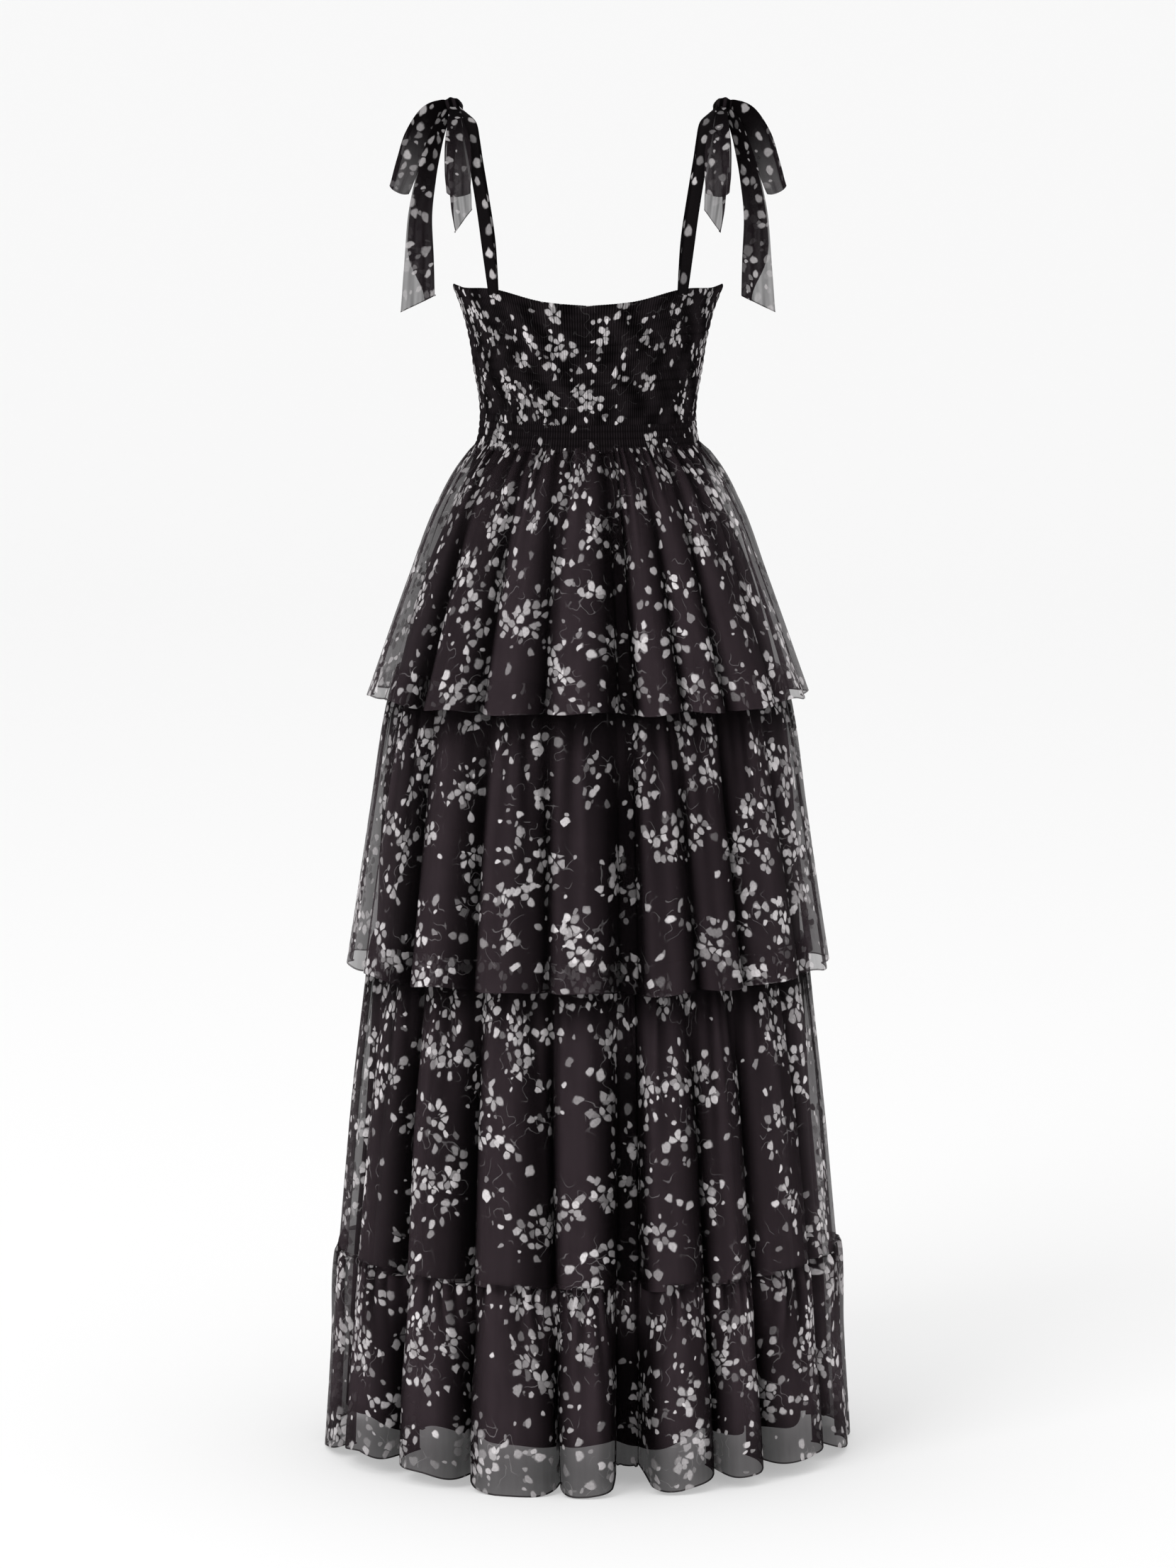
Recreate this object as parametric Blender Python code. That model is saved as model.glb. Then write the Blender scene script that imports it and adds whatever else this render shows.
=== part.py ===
"""Tiered maxi sundress with a smocked back and straps tied in bows, in metres.

The back faces -Y, the wearer's right is +X and up is +Z. The origin is midway between
the two shoulder knots, where the straps cross the shoulders, and the hem is the lowest
point. Each sewn piece is one closed solid. Its outer face is worked out from the sizes
below, and its inner face is the outer one moved in by the wall, SEAM_GAP short of the
piece that it is sewn to. Angles go round the garment in degrees: 0 is the middle of the
back, 90 the wearer's right side seam and 180 the middle of the front.
"""

from math import pi, sqrt
from typing import NamedTuple

import bmesh
import bpy
import numpy as np
from mathutils import Vector

SEAM_GAP = 0.0003
HEM_Z = -1.422
WAIST_Z = -0.354
WAISTBAND_TOP_Z = -0.326
LINING_HEM_Z = -1.372

BODICE_WALL = 0.0018
CHIFFON_WALL = 0.0015
LINING_WALL = 0.0012
TIE_WALL = 0.0012
BODICE_FRONT_LIFT = 0.0002

# How much less the skirt reaches to the front and back than to the sides.
SKIRT_FLATTENING = 0.031

# Smocked back: ribs run down it, and rows of elastic draw them in.
SMOCKING_RIBS = 26
SMOCKING_ELASTICS = 6
SMOCKING_RELIEF = 0.0011
RELIEF_AT_ELASTIC = 0.35
SMOCKED_INSIDE = (26, 4)
BAND_RIBS = 40
BAND_RELIEF = 0.0009
BAND_LEVELS = 4

FRONT_COLUMNS = 21
FRONT_LEVELS = 7
CUP_ANGLE = 33.0
CUP_Z = -0.226
CUP_FULLNESS = 0.013
CUP_HALF_WIDTH = 27.0
CUP_HALF_HEIGHT = 0.046

KNOT_X = 0.1400
KNOT_SIZE = (0.0105, 0.0095, 0.0090)
KNOT_EASE = 0.03
KNOT_SEGMENTS = 12
KNOT_RINGS = 8
KNOT_RIDGE_DEPTH = 0.10
KNOT_RIDGE_TURNS = (2.0, 9.0)


class FormRow(NamedTuple):
    """One level of the bodice: its height and its reach from the middle."""

    z: float
    half_width: float
    back: float
    front: float


class SkirtRow(NamedTuple):
    """One level of a skirt piece: the crests of its folds lie on half_width."""

    z: float
    half_width: float
    fold_depth: float
    gather: float
    lift: float = 0.0


class Fold(NamedTuple):
    """A fold starts in this valley and ends in the next one.

    The valley runs from waist_angle to hem_angle, as deep as valley shares of the
    level's fold depth. The fold's middle stands crest shares in from the outline.
    """

    waist_angle: float
    hem_angle: float
    valley: float
    crest: float


class TieRow(NamedTuple):
    """One station of a strap, loop or tail, measured from the middle of its knot.

    out is away from the neck and back is towards the wearer's back. In degrees, lean
    turns the width's outer end up from level, and turn swings it to the front.
    """

    out: float
    back: float
    up: float
    width: float
    lean: float
    turn: float = 0.0


class TieForm(NamedTuple):
    """How finely a tie is built, its lengthwise folds and the slant of its cut end."""

    stations: int
    across: int
    folds: float = 1.0
    fold_depth: float = 0.0
    slant: float = 0.0


BODICE_FORM = (
    FormRow(-0.185, 0.1416, 0.104, 0.116),
    FormRow(-0.213, 0.1313, 0.099, 0.114),
    FormRow(-0.243, 0.1240, 0.094, 0.108),
    FormRow(-0.277, 0.1188, 0.090, 0.098),
    FormRow(-0.305, 0.1140, 0.086, 0.091),
    FormRow(-0.328, 0.1134, 0.083, 0.086),
    FormRow(-0.346, 0.1161, 0.085, 0.086),
    FormRow(-0.354, 0.1190, 0.088, 0.088),
)

# Height of the bodice's top edge by angle: back middle, strap, side, strap, front middle.
TOP_EDGE_ANGLES = (0.0, 20.0, 44.0, 66.0, 90.0, 114.0, 136.0, 160.0, 180.0)
TOP_EDGE_HEIGHTS = (-0.203, -0.199, -0.187, -0.187, -0.185, -0.192, -0.199, -0.215, -0.232)

FOLDS = (
    Fold(-90, -90, 0.35, 0.00),
    Fold(-69, -70, 0.45, 0.00),
    Fold(-51, -48, 1.00, 0.00),
    Fold(-30, -28, 0.90, 0.00),
    Fold(-13, -6.5, 0.80, 0.00),
    Fold(9.0, 6.8, 1.15, 1.05),
    Fold(12.5, 12.8, 1.15, 0.00),
    Fold(25, 30, 0.85, 0.00),
    Fold(38.6, 43, 0.90, 0.00),
    Fold(58, 66, 0.50, 0.05),
    Fold(83, 88, 0.40, 0.00),
    Fold(104, 106, 0.80, 0.00),
    Fold(121, 123, 0.95, 0.05),
    Fold(137, 138, 0.70, 0.00),
    Fold(150, 153, 1.00, 0.00),
    Fold(168, 166, 0.75, 0.10),
    Fold(183, 184, 1.05, 0.00),
    Fold(200, 198, 0.80, 0.00),
    Fold(213, 214, 0.95, 0.05),
    Fold(229, 228, 0.70, 0.00),
    Fold(243, 245, 0.90, 0.00),
)
ARCH_POWER = 2.2
SHARPEST_MITRE = 0.55
GATHERS_PER_FOLD = 2
FULL_FOLD_ANGLE = 14.0

# How far the ruffle's hem rises between the lobes that hang lowest, by angle.
HEM_LIFT_ANGLES = (-90, -74, -58, -37, -20, 0, 20, 37, 58, 74, 90, 115, 140, 180, 220, 245, 270)
HEM_LIFTS = (0, 8, 19, 12, 2, 0, 4, 13, 20, 9, 0, 10, 14, 3, 12, 9, 0)

LINING_ROWS = (
    SkirtRow(-0.3545, 0.1155, 0.000, 0.0),
    SkirtRow(-0.480, 0.1700, 0.002, 0.0),
    SkirtRow(-0.590, 0.2000, 0.003, 0.0),
    SkirtRow(-0.875, 0.2270, 0.009, 0.0),
    SkirtRow(-1.036, 0.2370, 0.016, 0.0),
    SkirtRow(-1.205, 0.2520, 0.022, 0.0),
    SkirtRow(LINING_HEM_Z, 0.2620, 0.031, 0.0),
)
LINING_COLUMNS = 3

TIER_1_ROWS = (
    SkirtRow(-0.3543, 0.1190, 0.000, 0.0011),
    SkirtRow(-0.374, 0.1377, 0.002, 0.0042),
    SkirtRow(-0.413, 0.1605, 0.004, 0.0045),
    SkirtRow(-0.491, 0.1930, 0.009, 0.0030),
    SkirtRow(-0.614, 0.2390, 0.018, 0.0010),
)
TIER_1_COLUMNS = 8

SEAT_EASE = 0.0008
TIER_2_TOP_Z = -0.586
TIER_2_ROWS = (
    SkirtRow(-0.623, 0.2135, 0.006, 0.0030),
    SkirtRow(-0.736, 0.2337, 0.012, 0.0030),
    SkirtRow(-0.900, 0.2612, 0.020, 0.0012),
)
TIER_2_COLUMNS = 6

TIER_3_TOP_Z = -0.873
TIER_3_ROWS = (
    SkirtRow(-0.917, 0.2370, 0.011, 0.0040),
    SkirtRow(-1.036, 0.2535, 0.020, 0.0030),
    SkirtRow(-1.205, 0.2714, 0.030, 0.0016),
)
TIER_3_COLUMNS = 6

RUFFLE_ROWS = (
    SkirtRow(-1.2053, 0.2714, 0.030, 0.0030),
    SkirtRow(-1.230, 0.2760, 0.032, 0.0042),
    SkirtRow(-1.300, 0.2800, 0.036, 0.0026),
    SkirtRow(HEM_Z, 0.2890, 0.044, 0.0008, 0.001),
)
RUFFLE_COLUMNS = 8

STRAP_BACK = (
    TieRow(-0.0090, 0.0072, -0.0036, 0.0055, 40),
    TieRow(-0.0162, 0.0230, -0.0150, 0.0092, 28),
    TieRow(-0.0195, 0.0390, -0.0340, 0.0118, 18),
    TieRow(-0.0230, 0.0510, -0.0560, 0.0122, 15),
    TieRow(-0.0282, 0.0620, -0.0860, 0.0124, 13),
    TieRow(-0.0330, 0.0690, -0.1160, 0.0126, 12),
    TieRow(-0.0375, 0.0735, -0.1500, 0.0130, 11, 18),
)
STRAP_FRONT = (
    TieRow(-0.0090, -0.0072, -0.0036, 0.0055, 40),
    TieRow(-0.0162, -0.0240, -0.0150, 0.0092, 28),
    TieRow(-0.0195, -0.0430, -0.0340, 0.0118, 18),
    TieRow(-0.0240, -0.0580, -0.0620, 0.0122, 15),
    TieRow(-0.0300, -0.0690, -0.1000, 0.0124, 13),
    TieRow(-0.0360, -0.0780, -0.1450, 0.0128, 12, -18),
)
STRAP_BACK_ANGLE = 43.7
STRAP_FRONT_ANGLE = 136.0
STRAP_WIDTH = 0.0132
STRAP_LEAN = 11.0
STRAP_FOOT_ANGLES = 3.2
STRAP_FORM = TieForm(10, 3)
LOOP_FORM = TieForm(14, 4, 1.5, 0.0008)
TAIL_OUTER_FORM = TieForm(9, 6, 2.5, 0.0020, 0.0185)
TAIL_INNER_FORM = TieForm(7, 4, 1.5, 0.0010, 0.0210)
LOOP_OUTER = (
    TieRow(0.0120, 0.0035, 0.0021, 0.0060, 62),
    TieRow(0.0255, 0.0105, -0.0095, 0.0180, 50),
    TieRow(0.0375, 0.0170, -0.0320, 0.0265, 31),
    TieRow(0.0465, 0.0185, -0.0570, 0.0255, 27),
    TieRow(0.0550, 0.0150, -0.0810, 0.0230, 24),
    TieRow(0.0578, 0.0080, -0.0875, 0.0220, 23),
    TieRow(0.0555, 0.0010, -0.0820, 0.0220, 24),
    TieRow(0.0460, -0.0035, -0.0560, 0.0240, 27),
    TieRow(0.0365, -0.0045, -0.0310, 0.0240, 31),
    TieRow(0.0235, -0.0035, -0.0105, 0.0180, 44),
    TieRow(0.0118, -0.0033, 0.0010, 0.0060, 62),
)
LOOP_INNER = (
    TieRow(-0.0012, 0.0106, -0.0010, 0.0055, 4),
    TieRow(-0.0026, 0.0330, -0.0130, 0.0140, 4),
    TieRow(-0.0052, 0.0570, -0.0370, 0.0260, 4),
    TieRow(-0.0060, 0.0700, -0.0670, 0.0275, 4),
    TieRow(-0.0065, 0.0755, -0.0840, 0.0255, 4),
    TieRow(-0.0065, 0.0725, -0.0895, 0.0245, 4),
    TieRow(-0.0065, 0.0680, -0.0840, 0.0245, 4),
    TieRow(-0.0060, 0.0620, -0.0670, 0.0250, 4),
    TieRow(-0.0048, 0.0500, -0.0400, 0.0215, 4),
    TieRow(-0.0024, 0.0285, -0.0180, 0.0115, 4),
    TieRow(-0.0012, 0.0098, -0.0046, 0.0050, 4),
)
TAIL_OUTER = (
    TieRow(0.0062, 0.0085, -0.0056, 0.0052, 30),
    TieRow(0.0140, 0.0225, -0.0215, 0.0118, 20),
    TieRow(0.0215, 0.0290, -0.0450, 0.0175, 14),
    TieRow(0.0280, 0.0300, -0.0720, 0.0210, 10),
    TieRow(0.0345, 0.0250, -0.1120, 0.0250, 5),
    TieRow(0.0362, 0.0190, -0.1580, 0.0305, 2),
    TieRow(0.0378, 0.0160, -0.2040, 0.0350, 1),
)
TAIL_INNER = (
    TieRow(-0.0004, 0.0050, -0.0092, 0.0055, 4),
    TieRow(-0.0022, 0.0165, -0.0250, 0.0105, 4),
    TieRow(-0.0040, 0.0350, -0.0460, 0.0160, 2),
    TieRow(-0.0062, 0.0500, -0.0700, 0.0205, 0),
    TieRow(-0.0090, 0.0600, -0.0960, 0.0225, -4),
    TieRow(-0.0115, 0.0660, -0.1160, 0.0200, -8),
)

BLACK_CHIFFON = (0.018, 0.016, 0.018)
BLACK_LINING = (0.010, 0.009, 0.010)


def smooth_at(known, values, wanted):
    """Values read at wanted from a smooth curve through the known points, in either order."""
    known = np.asarray(known, float)
    values = np.asarray(values, float)
    if known[0] > known[-1]:
        known, values = known[::-1], values[::-1]
    slopes = np.gradient(values, known, axis=0)
    wanted = np.clip(np.asarray(wanted, float), known[0], known[-1])
    index = np.clip(np.searchsorted(known, wanted, side="right") - 1, 0, len(known) - 2)
    span = known[index + 1] - known[index]
    share = (wanted - known[index]) / span
    if values.ndim > 1:
        share, span = share[..., None], span[..., None]
    rise = share * share * (3 - 2 * share)
    start = share * (1 - share) ** 2
    end = share * share * (share - 1)
    straight = values[index] + (values[index + 1] - values[index]) * rise
    return straight + (slopes[index] * start + slopes[index + 1] * end) * span


def around(angles, half_width, back, front, offset, z):
    """Points round an oval at the angles, moved out by offset along its normals."""
    turn = np.radians(angles)
    depth = np.where(np.cos(turn) > 0, back, front)
    normal = np.stack([np.sin(turn) / half_width, -np.cos(turn) / depth], -1)
    normal /= np.linalg.norm(normal, axis=-1, keepdims=True)
    x = half_width * np.sin(turn) + normal[..., 0] * offset
    y = -depth * np.cos(turn) + normal[..., 1] * offset
    return np.stack(np.broadcast_arrays(x, y, z), -1)


def moved_in(ring, wall, closed):
    """A ring or row of points moved towards the wearer by the wall, with mitred corners."""
    flat = ring[:, :2]
    if closed:
        before, after = flat - np.roll(flat, 1, 0), np.roll(flat, -1, 0) - flat
    else:
        steps = np.diff(flat, axis=0)
        before = np.concatenate([steps[:1], steps])
        after = np.concatenate([steps, steps[-1:]])
    before /= np.linalg.norm(before, axis=1, keepdims=True)
    after /= np.linalg.norm(after, axis=1, keepdims=True)
    along = before + after
    along /= np.linalg.norm(along, axis=1, keepdims=True)
    mitre = 1 / np.maximum((along * after).sum(1), SHARPEST_MITRE)
    inner = ring.copy()
    inner[:, 0] -= along[:, 1] * wall * mitre
    inner[:, 1] += along[:, 0] * wall * mitre
    return inner


def zipped(mesh, first, second):
    """Triangles between two runs of vertices that may differ in count."""
    i = j = 0
    while i < len(first) - 1 or j < len(second) - 1:
        next_first = (i + 1) / (len(first) - 1)
        next_second = (j + 1) / (len(second) - 1)
        if j == len(second) - 1 or (i < len(first) - 1 and next_first <= next_second):
            mesh.faces.new((first[i], first[i + 1], second[j]))
            i += 1
        else:
            mesh.faces.new((first[i], second[j + 1], second[j]))
            j += 1


def face_grid(mesh, points, closed):
    """Vertices for a grid of points, with a quad in each of its cells."""
    verts = [[mesh.verts.new(point) for point in row] for row in points.tolist()]
    for upper, lower in zip(verts, verts[1:]):
        last = len(upper) if closed else len(upper) - 1
        for i in range(last):
            j = (i + 1) % len(upper)
            mesh.faces.new((upper[i], upper[j], lower[j], lower[i]))
    return verts


def wall(name, outer, inner, material, closed):
    """A closed solid between an outer and an inner grid, a tube if closed goes round."""
    mesh = bmesh.new()
    outside = face_grid(mesh, outer, closed)
    inside = face_grid(mesh, inner, closed)
    for row in (0, -1):
        first, second = outside[row], inside[row]
        if closed:
            first, second = first + first[:1], second + second[:1]
        zipped(mesh, first, second)
    if not closed:
        for column in (0, -1):
            zipped(mesh, [row[column] for row in outside], [row[column] for row in inside])
    return finished(name, mesh, material)


def finished(name, mesh, material):
    """An object of the mesh, its faces turned out and shaded smooth."""
    bmesh.ops.recalc_face_normals(mesh, faces=mesh.faces)
    data = bpy.data.meshes.new(name)
    mesh.to_mesh(data)
    mesh.free()
    data.shade_smooth()
    data.set_sharp_from_angle(angle=1.0)
    data.materials.append(material)
    thing = bpy.data.objects.new(name, data)
    bpy.context.collection.objects.link(thing)
    return thing


def cloth(name, colour, roughness):
    """A plain cloth material."""
    material = bpy.data.materials.new(name)
    material.use_nodes = True
    shader = material.node_tree.nodes["Principled BSDF"]
    shader.inputs["Base Color"].default_value = (*colour, 1.0)
    shader.inputs["Roughness"].default_value = roughness
    shader.inputs["Metallic"].default_value = 0.0
    return material


def skirt_ring(row, columns):
    """The outer points of one level of a skirt piece, with columns points to a fold.

    Between two valleys a fold rises in an arch, and the gathers lie on it.
    """
    place = np.arange(len(FOLDS) * columns) / columns
    fold = place.astype(int)
    along = place - fold
    share = np.clip((WAIST_Z - row.z) / (WAIST_Z - HEM_Z), 0, 1)
    starts = np.array([f.waist_angle + (f.hem_angle - f.waist_angle) * share for f in FOLDS])
    starts = np.append(starts, starts[0] + 360)
    angles = starts[fold] + (starts[fold + 1] - starts[fold]) * along

    valleys = np.array([f.valley for f in (*FOLDS, FOLDS[0])])
    crests = np.array([f.crest for f in FOLDS])
    floor = valleys[fold] + (valleys[fold + 1] - valleys[fold]) * along
    arch = 1 - np.abs(2 * along - 1) ** ARCH_POWER
    depth = row.fold_depth * (floor + (crests[fold] - floor) * arch)
    dip = 0.5 + 0.5 * np.cos(2 * pi * GATHERS_PER_FOLD * along)
    fullness = np.minimum(1, np.diff(starts) / FULL_FOLD_ANGLE) ** 2
    shared = np.minimum(fullness, np.roll(fullness, 1))
    shared = np.append(shared, shared[0])
    at_edges = shared[fold] + (shared[fold + 1] - shared[fold]) * along
    fullness = at_edges + (fullness[fold] - at_edges) * (1 - np.abs(2 * along - 1))
    offset = -depth - row.gather * fullness * dip

    reach = row.half_width - SKIRT_FLATTENING
    lift = np.interp(angles, HEM_LIFT_ANGLES, HEM_LIFTS) * row.lift
    return around(angles, row.half_width, reach, reach, offset, row.z + lift)


def skirt_piece(name, rows, columns, thickness, material):
    """A tier, ruffle or lining: a tube through its levels."""
    outer = np.array([skirt_ring(row, columns) for row in rows])
    inner = np.array([moved_in(ring, thickness, closed=True) for ring in outer])
    return wall(name, outer, inner, material, closed=True)


def seat_on_lining(z, gather):
    """The top level of a tier, SEAM_GAP outside the lining that it is sewn to."""
    heights = [row.z for row in LINING_ROWS]
    half_width = float(np.interp(-z, [-h for h in heights], [r.half_width for r in LINING_ROWS]))
    depth = float(np.interp(-z, [-h for h in heights], [r.fold_depth for r in LINING_ROWS]))
    half_width += SEAM_GAP + CHIFFON_WALL + SEAT_EASE + gather
    return SkirtRow(z, half_width, depth, gather)


def form_at(z):
    """The bodice's half width and its reach to the back and front at each height."""
    heights = [row.z for row in BODICE_FORM]
    sizes = [(row.half_width, row.back, row.front) for row in BODICE_FORM]
    found = smooth_at(heights, sizes, z)
    return found[..., 0], found[..., 1], found[..., 2]


def bodice_points(angles, shares, bottom_z, offset):
    """A grid down the bodice from its top edge to bottom_z, moved out by offset."""
    top = smooth_at(TOP_EDGE_ANGLES, TOP_EDGE_HEIGHTS, np.abs(angles))
    z = top + (bottom_z - top) * shares[:, None]
    half_width, back, front = form_at(z)
    grid_angles = np.broadcast_to(angles, z.shape)
    return around(grid_angles, half_width, back, front, offset, z)


def cup_rise(angles, z):
    """How far the two bust cups stand out from the front's form."""
    across = (np.abs(np.abs(angles) - 180) - CUP_ANGLE) / CUP_HALF_WIDTH
    down = (z - CUP_Z) / CUP_HALF_HEIGHT
    return CUP_FULLNESS * np.exp(-(across**2 + down**2))


def bodice_back(material):
    """The smocked back: ribs between rows of elastic, raised over a plain inside."""
    edge = 90 - np.degrees(SEAM_GAP / 2 / BODICE_FORM[0].back)
    angles = np.linspace(-edge, edge, 2 * SMOCKING_RIBS + 1)
    shares = np.linspace(0, 1, 2 * SMOCKING_ELASTICS + 1)
    rib = np.where(np.arange(len(angles)) % 2 == 1, 1.0, 0.0)
    puff = np.where(np.arange(len(shares)) % 2 == 1, 1.0, RELIEF_AT_ELASTIC)
    relief = SMOCKING_RELIEF * rib * puff[:, None]
    outer = bodice_points(angles, shares, WAISTBAND_TOP_Z, relief)
    plain_angles = np.linspace(-edge, edge, SMOCKED_INSIDE[0] + 1)
    plain_shares = np.linspace(0, 1, SMOCKED_INSIDE[1] + 1)
    inner = bodice_points(plain_angles, plain_shares, WAISTBAND_TOP_Z, -BODICE_WALL)
    return wall("bodice_back", outer, inner, material, closed=False)


def bodice_front(material):
    """The plain front, with its two bust cups."""
    edge = 90 + np.degrees(SEAM_GAP / 2 / BODICE_FORM[0].front)
    angles = np.linspace(edge, 360 - edge, FRONT_COLUMNS)
    shares = np.linspace(0, 1, FRONT_LEVELS)
    mirrored = np.where(angles > 180, 360 - angles, angles)
    top = smooth_at(TOP_EDGE_ANGLES, TOP_EDGE_HEIGHTS, mirrored)
    z = top + (WAISTBAND_TOP_Z - top) * shares[:, None]
    half_width, back, front = form_at(z)
    rise = cup_rise(mirrored, z) + BODICE_FRONT_LIFT
    outer = around(np.broadcast_to(angles, z.shape), half_width, back, front, rise, z)
    inner = around(np.broadcast_to(angles, z.shape), half_width, back, front, rise - BODICE_WALL, z)
    return wall("bodice_front", outer, inner, material, closed=False)


def waistband(material):
    """The close smocked band between the bodice and the first tier."""
    columns = 2 * BAND_RIBS
    angles = -90 + 360 * np.arange(columns) / columns
    heights = np.linspace(WAISTBAND_TOP_Z - SEAM_GAP, WAIST_Z, BAND_LEVELS)
    rib = np.where(np.arange(columns) % 2 == 1, BAND_RELIEF, 0.0)
    rows = []
    for z in heights:
        half_width, back, front = form_at(z)
        rows.append(around(angles, half_width, back, front, rib, z))
    outer = np.array(rows)
    plain = []
    for z in heights[[0, -1]]:
        half_width, back, front = form_at(z)
        plain.append(around(angles[::2], half_width, back, front, -BODICE_WALL, z))
    return wall("waistband", outer, np.array(plain), material, closed=True)


def strap_foot(angle):
    """The last station of a strap, SEAM_GAP above the bodice's top edge at an angle."""
    near = angle + np.linspace(-STRAP_FOOT_ANGLES, STRAP_FOOT_ANGLES, 5)
    up = float(smooth_at(TOP_EDGE_ANGLES, TOP_EDGE_HEIGHTS, near).max())
    half_width, back, front = form_at(up)
    offset = -BODICE_WALL / 2
    if angle > 90:
        offset += cup_rise(angle, up) + BODICE_FRONT_LIFT
    here, ahead = (around(a, half_width, back, front, offset, up) for a in (angle, angle + 1))
    step = ahead - here
    turn = np.degrees(np.arctan(step[1] / step[0]))
    out, height = float(here[0]) - KNOT_X, up + SEAM_GAP
    return TieRow(out, float(-here[1]), height, STRAP_WIDTH, STRAP_LEAN, float(turn))


def at_knot(row):
    """A station moved in or out to lie just off the knot."""
    place = (row.out, row.back, row.up)
    reach = sqrt(sum((value / size) ** 2 for value, size in zip(place, KNOT_SIZE)))
    out, back, up = (value * (1 + KNOT_EASE) / reach for value in place)
    return row._replace(out=out, back=back, up=up)


def tie_grid(rows, form, side):
    """The middle surface of a tie and its normals, through the stations of its table."""
    known = np.arange(len(rows), dtype=float)
    table = smooth_at(known, np.array(rows), np.linspace(0, known[-1], form.stations))
    out, back, up, width, lean, turn = table.T
    centre = np.stack([side * (KNOT_X + out), -back, up], -1)
    lean, turn = np.radians(lean), np.radians(turn)
    outward, forward = np.cos(lean) * np.cos(turn), np.cos(lean) * np.sin(turn)
    level = np.stack([side * outward, forward, np.sin(lean)], -1)
    path = np.gradient(centre, axis=0)
    path /= np.linalg.norm(path, axis=1, keepdims=True)
    level -= path * (level * path).sum(1, keepdims=True)
    level /= np.linalg.norm(level, axis=1, keepdims=True)
    normal = side * np.cross(path, level)
    place = np.linspace(-0.5, 0.5, form.across)
    bend = form.fold_depth * np.cos(2 * pi * form.folds * (place + 0.5))
    grid = centre[:, None] + level[:, None] * (width[:, None] * place)[..., None]
    grid = grid + normal[:, None] * bend[None, :, None]
    grid[-1] += path[-1] * (form.slant * place)[:, None]
    return grid, np.broadcast_to(normal[:, None], grid.shape)


def tie(name, rows, form, side, material, level_end=False):
    """A strap, loop or tail: a thin wall along its stations, its end level if it is sewn on."""
    grid, normal = tie_grid(rows, form, side)
    half = normal * TIE_WALL / 2
    outer, inner = grid + half, grid - half
    if level_end:
        outer[-1, :, 2] = inner[-1, :, 2] = rows[-1].up
    return wall(name, outer, inner, material, closed=False)


def knot(name, side, material):
    """A shoulder knot: a round pad with the ridges of the wrapped tie."""
    mesh = bmesh.new()
    bmesh.ops.create_uvsphere(mesh, u_segments=KNOT_SEGMENTS, v_segments=KNOT_RINGS, radius=1.0)
    across, upward = KNOT_RIDGE_TURNS
    for vert in mesh.verts:
        groove = 0.5 + 0.5 * np.cos(across * vert.co.x + upward * vert.co.z)
        ridge = 1 - KNOT_RIDGE_DEPTH * groove
        x, y, z = (value * size * ridge for value, size in zip(vert.co, KNOT_SIZE))
        vert.co = Vector((side * (KNOT_X + x), y, z))
    return finished(name, mesh, material)


def shoulder_bow(side, word, material):
    """The knot, straps, loops and tails of one shoulder."""
    knot(f"knot_{word}", side, material)
    for name, rows, angle in (
        ("strap_back", STRAP_BACK, STRAP_BACK_ANGLE),
        ("strap_front", STRAP_FRONT, STRAP_FRONT_ANGLE),
    ):
        stations = (at_knot(rows[0]), *rows[1:], strap_foot(angle))
        tie(f"{name}_{word}", stations, STRAP_FORM, side, material, level_end=True)
    tie(f"bow_loop_outer_{word}", LOOP_OUTER, LOOP_FORM, side, material)
    inner_loop = (at_knot(LOOP_INNER[0]), *LOOP_INNER[1:-1], at_knot(LOOP_INNER[-1]))
    tie(f"bow_loop_inner_{word}", inner_loop, LOOP_FORM, side, material)
    outer = (at_knot(TAIL_OUTER[0]), *TAIL_OUTER[1:])
    tie(f"bow_tail_outer_{word}", outer, TAIL_OUTER_FORM, side, material)
    inner = (at_knot(TAIL_INNER[0]), *TAIL_INNER[1:])
    tie(f"bow_tail_inner_{word}", inner, TAIL_INNER_FORM, side, material)


def clear_scene():
    """Removes what the opened file holds."""
    for thing in list(bpy.data.objects):
        bpy.data.objects.remove(thing, do_unlink=True)


def main():
    """Makes every piece of the dress."""
    clear_scene()
    chiffon = cloth("black_chiffon", BLACK_CHIFFON, 0.78)
    lining_cloth = cloth("black_lining", BLACK_LINING, 0.62)
    bodice_back(chiffon)
    bodice_front(chiffon)
    waistband(chiffon)
    skirt_piece("lining", LINING_ROWS, LINING_COLUMNS, LINING_WALL, lining_cloth)
    tier_2 = (seat_on_lining(TIER_2_TOP_Z, 0.002), *TIER_2_ROWS)
    tier_3 = (seat_on_lining(TIER_3_TOP_Z, 0.002), *TIER_3_ROWS)
    for name, rows, columns in (
        ("tier_1", TIER_1_ROWS, TIER_1_COLUMNS),
        ("tier_2", tier_2, TIER_2_COLUMNS),
        ("tier_3", tier_3, TIER_3_COLUMNS),
        ("hem_ruffle", RUFFLE_ROWS, RUFFLE_COLUMNS),
    ):
        skirt_piece(name, rows, columns, CHIFFON_WALL, chiffon)
    shoulder_bow(-1, "left", chiffon)
    shoulder_bow(1, "right", chiffon)


main()
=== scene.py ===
"""Look scene of the tiered sundress: floral chiffon over a plain lining, tied at the shoulders.

Every cloth is a thin sheet on the form of its solid. The sizes are in metres and the frame is
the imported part's: the back faces -Y, the wearer's right is +X, and the straps cross the
shoulders at z = 0. Angles go round the dress in degrees from the middle of the back.
"""

from __future__ import annotations

import logging
from dataclasses import dataclass
from enum import Enum
from functools import partial, reduce
from math import pi
from typing import NamedTuple, Sequence

import bpy
import numpy as np
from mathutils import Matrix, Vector
from numpy.typing import NDArray

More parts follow.
